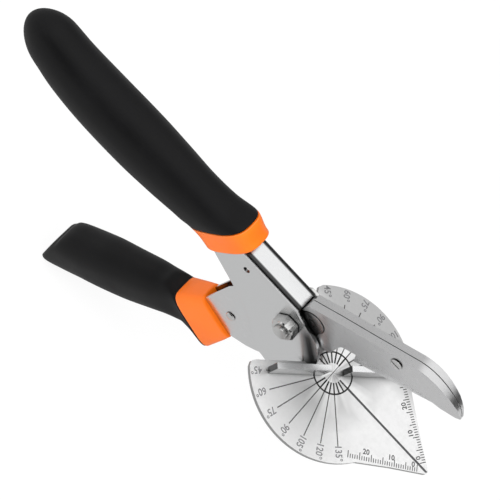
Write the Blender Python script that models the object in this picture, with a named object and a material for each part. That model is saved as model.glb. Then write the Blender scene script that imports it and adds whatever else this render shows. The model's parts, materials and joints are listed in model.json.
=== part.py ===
"""Mitre shears: a bent steel frame with an angle bed, a lever with a blade jaw, and two soft grips.

Metres, +Z up. The origin is in the middle of the flat top of the frame's web.
The cut runs along +X, and the frame's handle lies along -X. The lever is shown open.
Pieces of the frame are drawn about the centre of the ring marked on the bed, at the level of
the bed's top face, and pieces of the lever about the main pivot.
"""

import math

import bmesh
import bpy
from mathutils import Matrix, Vector

MM = 0.001

# Shared clearances and finishes
GAP = 0.3 * MM
OVERRUN = 4.0 * MM
EDGE_ROUND = 0.25 * MM
ROUND_STEPS = 28

# Main pivot, measured from the ring's centre
PIVOT_BACK = 27.5 * MM
PIVOT_RISE = 11.5 * MM
OPEN_ANGLE = math.radians(38.3)
BOLT_R = 3.0 * MM
HEX_ACROSS = 10.0 * MM
BOLT_HEAD = 4.0 * MM
NUT_HEIGHT = 5.2 * MM
NUT_COLLAR = 1.4 * MM
BUSH_WALL = 1.0 * MM

# Frame: a U of bent sheet, web on top
FRAME_HALF = 5.5 * MM
FRAME_SHEET = 1.4 * MM
FRAME_BEND = 1.8 * MM
WEB_RISE = 12.0 * MM
WEB_FRONT = 2.0 * MM
WEB_BACK = 30.0 * MM
WEB_STEP = 0.6 * MM
SEAT_BACK = 40.0 * MM
CHEEK_BACK = 36.8 * MM
CHEEK_DROP = 34.9 * MM
CHEEK_NOSE = 19.5 * MM
RIB_REACH = 24.0 * MM
FRAME_TANG = 122.0 * MM
FRAME_TANG_HIGH = 11.1 * MM
CHEEK_HOLE_R = 1.45 * MM
CHEEK_HOLE_BACK = 25.6 * MM
CHEEK_HOLE_RISE = 4.5 * MM

# Bed: an angle plate under the blade
BED_THICK = 2.0 * MM
BED_R = 34.8 * MM
BED_TIP = 54.5 * MM
BED_TIP_ANGLE = math.radians(37.0)
BED_NECK_ANGLE = math.radians(33.5)
BED_TIP_ROUND = 1.2 * MM
BED_WING_ANGLE = math.radians(135.0)
BED_WING_MARGIN = 4.0 * MM
BED_CORNER = 2.5 * MM
SLIT_WIDE = 0.9 * MM
SLIT_DEEP = 0.7 * MM
RING_R = 8.3 * MM

# Fences: two upright bars on the 45 degree line
FENCE_TALL = 8.5 * MM
FENCE_THICK = 2.4 * MM
FENCE_ANGLE = math.radians(45.0)
NEAR_FENCE_IN = 4.7 * MM
FAR_FENCE_IN = 4.0 * MM
FENCE_OUT = 27.4 * MM
TAB_LONG = 5.0 * MM
TAB_THICK = 1.5 * MM
TAB_GAP = 0.2 * MM

# Lever: a second U of bent sheet that swings inside the frame
LEVER_GAP = 0.3 * MM
LEVER_SHEET = 1.1 * MM
LEVER_SET = 26.0 * MM
LOBE_R = 5.4 * MM
LOBE_AHEAD = 4.6 * MM
LOBE_RISE = 9.9 * MM
LEVER_RIVET_BACK = 13.3 * MM
LEVER_RIVET_DROP = 33.6 * MM
RIVET_R = 1.5 * MM
RIVET_HEAD_R = 2.1 * MM
RIVET_HEAD = 0.8 * MM

# Jaw: two plates that clamp the blade
JAW_NEAR = 3.5 * MM
JAW_FAR = 3.1 * MM
JAW_SEAM = 0.15 * MM
JAW_REACH = 63.8 * MM
JAW_RISE = 44.0 * MM
JAW_NECK = 1.3 * MM
EYE_R = 8.0 * MM
NOSE_START = 0.68
SCREW_ALONG = 47.2 * MM
SCREW_ABOVE = 6.6 * MM
SCREW_R = 1.4 * MM
SCREW_HEAD_R = 2.4 * MM
SCREW_HEAD = 0.5 * MM
SCREW_SLOT = 0.6 * MM

# Blade, in the frame of its own edge
BLADE_THICK = 0.8 * MM
BLADE_WIDE = 15.8 * MM
BLADE_HEEL = 25.0 * MM
BLADE_TIP = 71.3 * MM
BLADE_BACK_LEAN = 5.0 * MM
BLADE_FRONT_LEAN = 9.8 * MM
BLADE_BEVEL = 2.4 * MM
EDGE_THICK = 0.08 * MM

# Opening spring, wound round the bush
WIRE_R = 0.5 * MM
COIL_R = 5.35 * MM
COIL_PITCH = 1.45 * MM
COIL_SIDE = -0.35 * MM
FRAME_LEG_ANGLE = math.radians(75.0)
LEVER_LEG_ANGLE = math.radians(0.0)
COIL_TURNS = 1
COIL_SPLIT_SHARE = 0.5
CURL_POINTS = 10
FRAME_LEG = 17.0 * MM
LEVER_LEG = 28.5 * MM

# Frame handle: collar and grip along -X, heights from the bed's top
UPPER_AXIS = 18.0 * MM
UPPER_FRONT = 63.2 * MM
UPPER_BORDER = 72.5 * MM
UPPER_LONG = 175.5 * MM
UPPER_HALF_WIDE = 11.3 * MM
UPPER_HALF_HIGH = 12.7 * MM
UPPER_FRONT_SLANT = 0.52
UPPER_BORDER_SLANT = 0.62
SPIGOT_LONG = 22.0 * MM
SPIGOT_INSET = 1.5 * MM

# Lever handle: collar and grip down and back from the pivot
LOWER_HALF_WIDE = 10.6 * MM
LOWER_HALF_HIGH = 13.2 * MM
LOWER_BACK = 81.0 * MM
LOWER_DROP = 111.0 * MM
# Rows of shares: place back, place down, lean, half height, half width, squareness
MOUTH_SHARES = (0.195, 0.386, 0.235, 0.83, 0.55, 5.0)
BORDER_SHARES = (0.250, 0.523, 0.256, 1.07, 0.72, 5.0)
SLEEVE_END_SHARES = (0.400, 0.565, 0.44, 0.79, 0.71, 3.2)

# Lock hook on the far side of the lever
HOOK_THICK = 3.0 * MM
HOOK_LONG = 14.0 * MM
HOOK_WIDE = 9.0 * MM
HOOK_BOSS_R = 3.4 * MM
HOOK_REST = math.radians(-52.0)

RING_CENTRE = Vector((SEAT_BACK, 0.0, -PIVOT_RISE - WEB_RISE))
PIVOT = Vector((-PIVOT_BACK, 0.0, PIVOT_RISE))
FRAME_IN = FRAME_HALF - FRAME_SHEET
LEVER_HALF = FRAME_IN - LEVER_GAP
LEVER_IN = LEVER_HALF - LEVER_SHEET
BUSH_R = BOLT_R + GAP + BUSH_WALL
EDGE_DROP = PIVOT_RISE - GAP

STEEL = ((0.62, 0.63, 0.64), 0.28, 1.0)
POLISHED = ((0.72, 0.73, 0.74), 0.18, 1.0)
ZINC = ((0.68, 0.68, 0.66), 0.32, 1.0)
SPRING_STEEL = ((0.38, 0.38, 0.39), 0.35, 1.0)
ORANGE = ((0.95, 0.24, 0.02), 0.42, 0.0)
BLACK = ((0.018, 0.018, 0.019), 0.55, 0.0)


def clear_scene():
    for thing in list(bpy.data.objects):
        bpy.data.objects.remove(thing, do_unlink=True)


def material(name, finish):
    colour, roughness, metallic = finish
    made = bpy.data.materials.new(name)
    made.use_nodes = True
    shader = made.node_tree.nodes["Principled BSDF"]
    shader.inputs["Base Color"].default_value = (*colour, 1.0)
    shader.inputs["Roughness"].default_value = roughness
    shader.inputs["Metallic"].default_value = metallic
    return made


def add_object(name, mesh_data, finish=None, parent=None, smooth=False):
    """Turn a bmesh into a named object, in its parent's frame."""
    mesh = bpy.data.meshes.new(name)
    if mesh_data.calc_volume(signed=True) < 0.0:
        bmesh.ops.reverse_faces(mesh_data, faces=mesh_data.faces)
    mesh_data.to_mesh(mesh)
    mesh_data.free()
    made = bpy.data.objects.new(name, mesh)
    bpy.context.scene.collection.objects.link(made)
    made.parent = parent
    if finish:
        mesh.materials.append(material(name + "_finish", finish))
    if smooth:
        mesh.shade_smooth()
        mesh.set_sharp_from_angle(angle=math.radians(35.0))
    return made


def add_axis(name, place, parent=None):
    axis = bpy.data.objects.new(name, None)
    axis.location = place
    axis.parent = parent
    bpy.context.scene.collection.objects.link(axis)
    return axis


def cut(target, mesh_data, name):
    """Subtract a bmesh, given in the target's own frame."""
    cutter = add_object(target.name + "_" + name, mesh_data, parent=target.parent)
    cutter.hide_render = True
    cutter.display_type = "WIRE"
    step = target.modifiers.new(name, "BOOLEAN")
    step.operation = "DIFFERENCE"
    step.solver = "EXACT"
    step.object = cutter


def round_edges(target, width=EDGE_ROUND):
    step = target.modifiers.new("edge_round", "BEVEL")
    step.width = width
    step.segments = 1
    step.limit_method = "ANGLE"
    step.angle_limit = math.radians(40.0)


def prism(outline, y_low, y_high, mesh_data=None):
    """A plate whose outline lies in XZ, between two heights in Y."""
    mesh_data = mesh_data or bmesh.new()
    low = [mesh_data.verts.new((x, y_low, z)) for x, z in outline]
    high = [mesh_data.verts.new((x, y_high, z)) for x, z in outline]
    mesh_data.faces.new(low)
    mesh_data.faces.new(list(reversed(high)))
    for i, corner in enumerate(low):
        j = (i + 1) % len(low)
        mesh_data.faces.new((corner, high[i], high[j], low[j]))
    return mesh_data


def beam(outline, x_low, x_high):
    """A bar whose section lies in YZ, between two places in X."""
    mesh_data = prism(outline, x_low, x_high)
    mesh_data.transform(Matrix(((0, 1, 0, 0), (1, 0, 0, 0), (0, 0, 1, 0), (0, 0, 0, 1))))
    return mesh_data


def slab(outline, z_low, z_high):
    """A plate whose outline lies in XY, between two heights in Z."""
    mesh_data = prism(outline, z_low, z_high)
    turn = Matrix(((1, 0, 0, 0), (0, 0, 1, 0), (0, 1, 0, 0), (0, 0, 0, 1)))
    mesh_data.transform(turn)
    return mesh_data


def rod(centre, radius, y_low, y_high, sides=ROUND_STEPS, mesh_data=None):
    """A round bar along Y."""
    turns = [2.0 * math.pi * i / sides for i in range(sides)]
    ring = [(centre[0] + radius * math.cos(a), centre[1] + radius * math.sin(a)) for a in turns]
    return prism(ring, y_low, y_high, mesh_data)


def turned(profile, centre, sides=ROUND_STEPS):
    """A solid turned about an axis along Y. The profile lists (y, radius), radius above zero."""
    rings = []
    for y, radius in profile:
        turns = [2.0 * math.pi * i / sides for i in range(sides)]
        rings.append([(centre[0] + radius * math.cos(a), y, centre[1] + radius * math.sin(a)) for a in turns])
    return loft(rings)


def loft(rings):
    """Join rings of points into one closed body."""
    mesh_data = bmesh.new()
    rows = [[mesh_data.verts.new(point) for point in ring] for ring in rings]
    mesh_data.faces.new(rows[0])
    mesh_data.faces.new(list(reversed(rows[-1])))
    for first, second in zip(rows, rows[1:]):
        for i, corner in enumerate(first):
            j = (i + 1) % len(first)
            mesh_data.faces.new((corner, second[i], second[j], first[j]))
    return mesh_data


def arc(centre, radius, start, end, steps):
    """Points on an arc in the outline's plane."""
    turns = [start + (end - start) * i / steps for i in range(steps + 1)]
    return [(centre[0] + radius * math.cos(a), centre[1] + radius * math.sin(a)) for a in turns]


def scaled(shares, wide, high):
    return [(x * wide, z * high) for x, z in shares]


def eased(points, steps=3):
    """A smooth curve through the points, ends kept."""
    closed = [points[0], *points, points[-1]]
    curve = []
    for a, b, c, d in zip(closed, closed[1:], closed[2:], closed[3:]):
        for i in range(steps):
            t = i / steps
            curve.append(tuple(
                0.5 * (2 * q + (r - p) * t + (2 * p - 5 * q + 4 * r - s) * t**2 + (3 * q - p - 3 * r + s) * t**3)
                for p, q, r, s in zip(a, b, c, d)
            ))
    curve.append(points[-1])
    return curve


def area_of(outline):
    pairs = zip(outline, outline[1:] + outline[:1])
    return 0.5 * sum(a[0] * b[1] - b[0] * a[1] for a, b in pairs)


def grown(outline, gap):
    """The outline moved outwards by a gap."""
    turn = 1.0 if area_of(outline) > 0.0 else -1.0
    moved = []
    for before, here, after in zip(outline[-1:] + outline[:-1], outline, outline[1:] + outline[:1]):
        first = Vector((here[0] - before[0], here[1] - before[1])).normalized()
        second = Vector((after[0] - here[0], after[1] - here[1])).normalized()
        lean = (Vector((first.y, -first.x)) + Vector((second.y, -second.x))).normalized()
        reach = turn * gap / max(0.5, lean.dot(Vector((first.y, -first.x))))
        moved.append((here[0] + reach * lean.x, here[1] + reach * lean.y))
    return moved


def hexagon(centre, across, y_low, y_high, mesh_data=None):
    return rod(centre, across / math.sqrt(3.0), y_low, y_high, 6, mesh_data)


# Frame outlines, about the pivot

def tang_outline():
    """The frame's sheet inside the grip."""
    low = -CHEEK_DROP * 0.135
    end = WEB_RISE - FRAME_TANG_HIGH
    return [(-FRAME_TANG, WEB_RISE), (-FRAME_TANG, end), (-CHEEK_BACK * 1.28, end), (-CHEEK_BACK, low)]


def frame_outline():
    """Web, front curve, notch for the bed, rib under the bed, rear edge, tang."""
    front_shares = ((0.205, 0.633), (0.477, 0.467), (0.651, 0.317), (0.8, 0.05), (0.933, -0.29), (1.0, -0.58))
    front = eased([(-WEB_FRONT, WEB_RISE * 0.92), *scaled(front_shares, CHEEK_NOSE, WEB_RISE)])
    bed_top = -PIVOT_RISE + GAP
    bed_low = -PIVOT_RISE - BED_THICK - GAP
    notch = PIVOT_BACK - wing_apex() - FRAME_HALF - GAP
    rib_end = PIVOT_BACK + RIB_REACH
    rib_shares = ((1.0, -0.107), (0.86, -0.304), (0.58, -0.60), (0.36, -0.867), (0.187, -1.0))
    rear_shares = ((0.16, -0.971), (0.084, -0.951), (-0.068, -0.82), (-0.226, -0.625),
                   (-0.37, -0.484), (-0.486, -0.41), (-0.595, -0.35), (-1.0, -0.135))
    web = [(-WEB_FRONT, WEB_RISE)]
    bed = [(CHEEK_NOSE, bed_top), (notch, bed_top), (notch, bed_low), (rib_end, bed_low)]
    rib = moved(scaled(rib_shares, rib_end, CHEEK_DROP + bed_low), 0.0, bed_low)
    rear = eased(scaled(rear_shares, CHEEK_BACK, CHEEK_DROP))
    tang = tang_outline()
    return web + front + bed + rib + rear[:-1] + list(reversed(tang))


def moved(outline, dx, dz):
    return [(x + dx, z + dz) for x, z in outline]


def about_pivot(outline):
    return moved(outline, PIVOT.x, PIVOT.z)


def bend_cutter(side):
    """What the sheet's bend takes off one top corner of the frame."""
    top = PIVOT.z + WEB_RISE
    centre = (FRAME_HALF - FRAME_BEND, top - FRAME_BEND)
    bend = arc(centre, FRAME_BEND, 0.0, math.pi / 2.0, 5)
    ring = [*bend, (centre[0], top + OVERRUN), (FRAME_HALF + OVERRUN, top + OVERRUN), (FRAME_HALF + OVERRUN, centre[1])]
    ring = [(side * y, z) for y, z in ring]
    return beam(ring, PIVOT.x - FRAME_TANG - OVERRUN, PIVOT.x + CHEEK_NOSE)


def frame_channel(ring):
    """Both cheeks and the web, bent from one sheet."""
    outer = prism(about_pivot(frame_outline()), -FRAME_HALF, FRAME_HALF)
    frame = add_object("frame_channel", outer, STEEL, ring, smooth=True)
    for side in (-1.0, 1.0):
        cut(frame, bend_cutter(side), f"bend_{side:+.0f}")
    ceiling = WEB_RISE - WEB_STEP - FRAME_SHEET
    back = -FRAME_TANG - OVERRUN
    front = PIVOT_BACK + RIB_REACH + OVERRUN
    floor = -CHEEK_DROP - OVERRUN
    above = WEB_RISE + OVERRUN
    hollow = [(back, floor), (front, floor), (front, above), (-WEB_FRONT, above),
              (-WEB_FRONT, ceiling), (back, ceiling)]
    cut(frame, prism(about_pivot(hollow), -FRAME_IN, FRAME_IN), "hollow")
    wide = FRAME_HALF + OVERRUN
    step = WEB_RISE - WEB_STEP
    seat = [(back, step), (-WEB_BACK, step), (-WEB_BACK, above), (back, above)]
    cut(frame, prism(about_pivot(seat), -wide, wide), "handle_seat")
    cut(frame, rod((PIVOT.x, PIVOT.z), BOLT_R + GAP, -wide, wide), "bolt_hole")
    hole = (PIVOT.x - CHEEK_HOLE_BACK, PIVOT.z + CHEEK_HOLE_RISE)
    cut(frame, rod(hole, CHEEK_HOLE_R, -wide, wide, 16), "cheek_hole")
    return frame


# Bed

def wing_apex():
    """How far behind the ring's centre the two back edges meet."""
    return BED_WING_MARGIN / math.sin(math.pi - BED_WING_ANGLE)


def wing_corner():
    """Where a back edge would meet the round rim, as a distance along the edge's line."""
    apex = wing_apex()
    reach = BED_R * math.cos(math.asin(apex * math.sin(math.pi - BED_WING_ANGLE) / BED_R))
    return reach - apex * math.cos(math.pi - BED_WING_ANGLE)


def half_bed():
    """The rim on the far side, from the tip to the apex behind the ring."""
    neck = (BED_R * math.cos(BED_NECK_ANGLE), BED_R * math.sin(BED_NECK_ANGLE))
    tip_centre = (BED_TIP - BED_TIP_ROUND / math.sin(BED_TIP_ANGLE), 0.0)
    tip = arc(tip_centre, BED_TIP_ROUND, 0.0, math.pi / 2.0 - BED_TIP_ANGLE, 3)
    sag = BED_TIP_ROUND
    middle = ((tip[-1][0] + neck[0]) / 2.0 - sag * 0.15, (tip[-1][1] + neck[1]) / 2.0 - sag * 0.2)
    way = math.pi - BED_WING_ANGLE
    apex = (-wing_apex(), 0.0)
    far = wing_corner()
    corner = (apex[0] - far * math.cos(way), far * math.sin(way))
    before = (apex[0] - (far - BED_CORNER) * math.cos(way), (far - BED_CORNER) * math.sin(way))
    corner_angle = math.atan2(corner[1], corner[0]) - BED_CORNER / BED_R
    rim = arc((0.0, 0.0), BED_R, BED_NECK_ANGLE, corner_angle, 26)
    knee = [tuple(0.25 * (a + 2.0 * b + c) for a, b, c in zip(rim[-1], corner, before))]
    return tip + [middle] + rim + knee + [before, apex]


def bed_outline():
    far = half_bed()
    near = [(x, -y) for x, y in reversed(far[1:-1])]
    return far + near


def fence_spans():
    return {"near_fence": (-NEAR_FENCE_IN, -FENCE_OUT), "far_fence": (FAR_FENCE_IN, FENCE_OUT)}


def along_fence(start, end, half):
    """A rectangle on the fences' line, seen from above."""
    way = Vector((math.cos(FENCE_ANGLE), math.sin(FENCE_ANGLE)))
    side = Vector((-way.y, way.x)) * half
    return [tuple(p) for p in (way * start - side, way * end - side, way * end + side, way * start + side)]


def tab_spans(start, end):
    """Two tabs under a fence, a fifth of its length in from each end."""
    length = end - start
    half = math.copysign(TAB_LONG / 2.0, length)
    places = [start + length * share for share in (0.2, 0.8)]
    return [(place - half, place + half) for place in places]


def bed_plate(ring):
    """The plate, its blade slit and the slots for the fences' tabs."""
    bed = add_object("bed_plate", slab(bed_outline(), -BED_THICK, 0.0), POLISHED, ring)
    slit = [(RING_R, -SLIT_WIDE / 2.0), (BED_TIP + OVERRUN, -SLIT_WIDE / 2.0),
            (BED_TIP + OVERRUN, SLIT_WIDE / 2.0), (RING_R, SLIT_WIDE / 2.0)]
    cut(bed, slab(slit, -SLIT_DEEP, OVERRUN), "slit")
    for name, (start, end) in fence_spans().items():
        for i, (first, last) in enumerate(tab_spans(start, end)):
            grow = math.copysign(TAB_GAP, end - start)
            slot = along_fence(first - grow, last + grow, TAB_THICK / 2.0 + TAB_GAP)
            cut(bed, slab(slot, -BED_THICK - OVERRUN, OVERRUN), f"{name}_slot_{i}")
    return bed


def fence(name, start, end, ring):
    """An upright bar with two tabs that pass through the bed."""
    half = FENCE_THICK / 2.0
    bar = slab(along_fence(start, end, half), GAP, FENCE_TALL)
    made = add_object(name, bar, POLISHED, ring)
    for i, (first, last) in enumerate(tab_spans(start, end)):
        tab = slab(along_fence(first, last, TAB_THICK / 2.0), -BED_THICK, FENCE_TALL / 2.0)
        add_union(made, tab, f"tab_{i}")
    return made


# Pivot hardware

def pivot_bolt(ring):
    """Hex bolt: the head on the far cheek, the end past the nut on the near side."""
    seat = FRAME_HALF + GAP
    head = hexagon((PIVOT.x, PIVOT.z), HEX_ACROSS, seat, seat + BOLT_HEAD)
    bolt = add_object("pivot_bolt", head, ZINC, ring, smooth=True)
    end = -seat - NUT_HEIGHT - GAP
    add_union(bolt, rod((PIVOT.x, PIVOT.z), BOLT_R, end, seat + BOLT_HEAD / 2.0), "shank")
    return bolt


def add_union(target, mesh_data, name):
    """Join a second shape to an object, given in the same frame."""
    other = add_object(target.name + "_" + name, mesh_data, parent=target.parent)
    other.hide_render = True
    other.display_type = "WIRE"
    step = target.modifiers.new(name, "BOOLEAN")
    step.operation = "UNION"
    step.solver = "EXACT"
    step.object = other


def pivot_nut(ring):
    """Lock nut with a round collar at its outer end."""
    seat = -FRAME_HALF - GAP
    centre = (PIVOT.x, PIVOT.z)
    body = hexagon(centre, HEX_ACROSS, seat - NUT_HEIGHT + NUT_COLLAR, seat)
    nut = add_object("pivot_nut", body, ZINC, ring, smooth=True)
    collar_r = HEX_ACROSS / 2.0 - EDGE_ROUND
    add_union(nut, rod(centre, collar_r, seat - NUT_HEIGHT, seat - NUT_HEIGHT / 2.0), "collar")
    cut(nut, rod(centre, BOLT_R + GAP, seat - NUT_HEIGHT - OVERRUN, seat + OVERRUN), "bore")
    return nut


def pivot_bush(ring):
    """Sleeve between the frame's cheeks, on which the lever turns."""
    half = FRAME_IN - GAP
    bush = add_object("pivot_bush", rod((PIVOT.x, PIVOT.z), BUSH_R, -half, half), ZINC, ring, smooth=True)
    cut(bush, rod((PIVOT.x, PIVOT.z), BOLT_R + GAP, -half - OVERRUN, half + OVERRUN), "bore")
    return bush


# Spring

def coil_point(angle, start):
    """A point on the coil, which runs clockwise from the frame's leg."""
    side = COIL_SIDE + COIL_PITCH * (start - angle) / (2.0 * math.pi)
    return Vector((COIL_R * math.cos(angle), side, COIL_R * math.sin(angle)))


def wire(name, points, parent):
    """A bent wire of round section through the points."""
    curve = bpy.data.curves.new(name, "CURVE")
    curve.dimensions = "3D"
    curve.bevel_depth = WIRE_R
    curve.bevel_resolution = 1
    curve.use_fill_caps = True
    line = curve.splines.new("POLY")
    line.points.add(len(points) - 1)
    for knot, point in zip(line.points, points):
        knot.co = (*point, 1.0)
    made = bpy.data.objects.new(name, curve)
    made.parent = parent
    bpy.context.scene.collection.objects.link(made)
    curve.materials.append(material(name + "_finish", SPRING_STEEL))
    return made


def spring_paths():
    """The wire's centre line in two halves, about the pivot: the frame's leg and the lever's leg."""
    start = FRAME_LEG_ANGLE
    end = LEVER_LEG_ANGLE - 2.0 * math.pi * COIL_TURNS
    count = round(CURL_POINTS * (start - end) / (2.0 * math.pi))
    turns = [start + (end - start) * i / count for i in range(count + 1)]
    coil = [coil_point(a, start) for a in turns]
    back = Vector((-math.sin(start), 0.0, math.cos(start)))
    ahead = Vector((math.sin(end), 0.0, -math.cos(end)))
    split = round(count * COIL_SPLIT_SHARE)
    first = [coil[0] + back * FRAME_LEG, *coil[:split + 1]]
    meet = (coil[split + 1] - coil[split]).normalized() * GAP
    second = [coil[split] + meet, *coil[split + 1:], coil[-1] + ahead * LEVER_LEG]
    return first, second


def measure_spring(first, second):
    """Print the least gap between neighbouring curls."""
    whole = first[1:] + second[1:-1]
    far = [(a - b).length for i, a in enumerate(whole) for b in whole[i + CURL_POINTS - 2:]]
    print("spring: least gap to itself", round((min(far) - 2.0 * WIRE_R) / MM, 3), "mm")


# Lever, all about the pivot

def lever_outline():
    """One cheek: lobe over the jaw, rear edge, tang inside the grip, front edge."""
    lobe = arc((LOBE_AHEAD, LOBE_RISE), LOBE_R, math.radians(-25.0), math.radians(175.0), 14)
    return lobe + lever_rear() + tang_points() + lever_front()


def lever_rear():
    """From the lobe down to the collar."""
    rear_shares = ((-0.12, 0.352), (-0.25, 0.265), (-0.36, 0.10), (-0.48, -0.06), (-0.64, -0.20),
                   (-0.79, -0.42), (-0.90, -0.75))
    return eased(scaled(rear_shares, LEVER_SET, LEVER_SET))


def lever_front():
    """From the collar up to the lobe."""
    front_shares = ((0.0, -1.61), (0.227, -1.38), (0.335, -1.0), (0.40, -0.45), (0.42, 0.05))
    return eased(scaled(front_shares, LEVER_SET, LEVER_SET))


def tang_points():
    """The lever's sheet where it enters the collar and runs inside the grip, from the rear round to the front."""
    tang_shares = ((-0.958, -1.51), (-1.085, -2.08), (-1.615, -2.51), (-1.346, -2.835), (-0.592, -2.38), (-0.288, -1.773))
    return scaled(tang_shares, LEVER_SET, LEVER_SET)


def lever_channel(axis):
    """Two cheeks joined by a web along the front edge, open at the back."""
    outline = lever_outline()
    lever = add_object("lever_channel", prism(outline, -LEVER_HALF, LEVER_HALF), STEEL, axis, smooth=True)
    whole = grown(outline, OVERRUN)
    wall = lever_hollow()
    cut(lever, prism(wall, -LEVER_IN, LEVER_IN), "hollow")
    wide = LEVER_HALF + OVERRUN
    cut(lever, rod((0.0, 0.0), BUSH_R + GAP, -wide, wide), "bush_hole")
    for name, place in (("jaw_rivet_hole", jaw_rivet_place()), ("hook_rivet_hole", hook_place())):
        cut(lever, rod(place, RIVET_R + GAP, -wide, wide, 16), name)
    return lever


def lever_hollow():
    """What the cheeks stand round: everything but a sheet's thickness along the front edge."""
    tang = tang_points()
    bend_shares = ((0.0, -1.61), (0.227, -1.38), (0.335, -1.0))
    front = tang[3:] + scaled(bend_shares, LEVER_SET, LEVER_SET)
    inset = [(x - LEVER_SHEET * 0.8, z + LEVER_SHEET * 0.8) for x, z in front]
    beyond = (inset[0][0] - OVERRUN, inset[0][1] - OVERRUN)
    open_front = (LEVER_SET, -0.95 * LEVER_SET)
    top = (LEVER_SET, LEVER_SET)
    back_top = (-LEVER_SET * 3.0, LEVER_SET)
    back_low = (-LEVER_SET * 3.0, beyond[1])
    return [beyond, *inset, open_front, top, back_top, back_low]


def jaw_rivet_place():
    return (LOBE_AHEAD, LOBE_RISE)


def hook_place():
    return (-LEVER_RIVET_BACK, -LEVER_RIVET_DROP)


def on_edge(along, above):
    """A point given along and above the line through the pivot that is level when the jaw is shut."""
    c, s = math.cos(OPEN_ANGLE), math.sin(OPEN_ANGLE)
    return (along * c - above * s, along * s + above * c)


def jaw_top():
    """The jaw's back, rising to the nose, and the nose down to the tip."""
    back_shares = ((-0.02, 0.375), (0.157, 0.55), (0.33, 0.71), (0.586, 0.957))
    nose_shares = ((0.62, 0.98), (0.67, 1.0), (0.74, 1.005), (0.81, 0.99), (0.88, 0.96), (0.95, 0.90), (0.995, 0.825))
    return scaled(back_shares, JAW_REACH, JAW_RISE) + eased(scaled(nose_shares, JAW_REACH, JAW_RISE), 2)


def jaw_under():
    """The jaw's lower edge from the tip back to the notch and the round heel."""
    edge_shares = ((0.97, 0.80), (0.86, 0.765), (0.744, 0.74), (0.34, 0.366))
    heel_shares = ((0.29, 0.31), (0.282, 0.265), (0.286, 0.15), (0.279, 0.086), (0.258, 0.055), (0.23, 0.039))
    return scaled(edge_shares, JAW_REACH, JAW_RISE) + eased(scaled(heel_shares, JAW_REACH, JAW_RISE), 2)


def near_jaw_outline():
    """With the eye round the pivot."""
    eye = arc((0.0, 0.0), EYE_R, math.radians(-35.0), math.radians(-260.0), 16)
    rear = (-WEB_FRONT + GAP, LOBE_RISE)
    return jaw_top() + jaw_under() + eye + [rear]


def far_jaw_outline():
    """It stops in front of the spring."""
    back_shares = ((0.85, -0.35), (0.70, 0.60), (-0.16, 1.1))
    return jaw_top() + jaw_under() + scaled(back_shares, LOBE_RISE, LOBE_RISE)


def nose_cutter(side, half):
    """What the nose loses where it narrows to the tip, seen from above."""
    plan_shares = ((NOSE_START, 1.0), (0.78, 0.93), (0.88, 0.74), (0.95, 0.5), (1.0, 0.3))
    points = [(x * JAW_REACH, side * y * half) for x, y in plan_shares]
    out = JAW_REACH + OVERRUN
    points += [(out, side * half * 0.2), (out, side * (half + OVERRUN)), (NOSE_START * JAW_REACH, side * (half + OVERRUN))]
    return slab(points, -OVERRUN, JAW_RISE + OVERRUN)


def blade_outline(gap=0.0):
    """The blade's flat outline, grown by a gap."""
    low = -EDGE_DROP
    high = low + BLADE_WIDE
    corners = [(BLADE_HEEL, low), (BLADE_TIP, low), (BLADE_TIP - BLADE_FRONT_LEAN, high), (BLADE_HEEL + BLADE_BACK_LEAN, high)]
    outline = [on_edge(*corner) for corner in corners]
    return grown(outline, gap) if gap else outline


def jaw_plate(name, outline, side, half, axis):
    """One clamp plate, with seats for the lever's lobe, the blade, the rivet and the screw."""
    seam = side * JAW_SEAM
    face = side * half
    plate = add_object(name, prism(outline, min(seam, face), max(seam, face)), STEEL, axis, smooth=True)
    out = face + side * OVERRUN
    seat = side * (LEVER_IN - GAP)
    lobe = prism(grown(lever_outline(), GAP), min(seat, out), max(seat, out))
    cut(plate, lobe, "lobe_seat")
    cut(plate, nose_cutter(side, half), "nose")
    pocket = BLADE_THICK / 2.0 + GAP
    cut(plate, prism(blade_outline(GAP), -pocket, pocket), "blade_seat")
    cut(plate, rod(jaw_rivet_place(), RIVET_R + GAP, -half - OVERRUN, half + OVERRUN, 16), "rivet_hole")
    cut(plate, rod(on_edge(SCREW_ALONG, SCREW_ABOVE), SCREW_R + GAP, -half - OVERRUN, half + OVERRUN, 16), "screw_hole")
    return plate


def near_jaw(axis):
    plate = jaw_plate("near_jaw_plate", near_jaw_outline(), -1.0, JAW_NEAR, axis)
    cut(plate, rod((0.0, 0.0), BUSH_R + GAP, -JAW_NEAR - OVERRUN, OVERRUN), "bush_hole")
    inner = -(LEVER_IN - GAP) + JAW_NECK - GAP
    cut(plate, rod((0.0, 0.0), EYE_R + GAP, inner, OVERRUN), "spring_room")
    return plate


def far_jaw(axis):
    return jaw_plate("far_jaw_plate", far_jaw_outline(), 1.0, JAW_FAR, axis)


def blade(axis):
    """A trapezoid strip whose lower margin is ground to an edge."""
    low = -EDGE_DROP
    high = low + BLADE_WIDE
    thick = BLADE_THICK / 2.0
    thin = EDGE_THICK / 2.0
    bevel = low + BLADE_BEVEL
    section = [(low, -thin), (bevel, -thick), (high, -thick), (high, thick), (bevel, thick), (low, thin)]
    heel, tip = [], []
    for above, y in section:
        share = (above - low) / BLADE_WIDE
        back = on_edge(BLADE_HEEL + BLADE_BACK_LEAN * share, above)
        front = on_edge(BLADE_TIP - BLADE_FRONT_LEAN * share, above)
        heel.append((back[0], y, back[1]))
        tip.append((front[0], y, front[1]))
    return add_object("blade", loft([heel, tip]), POLISHED, axis)


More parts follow.
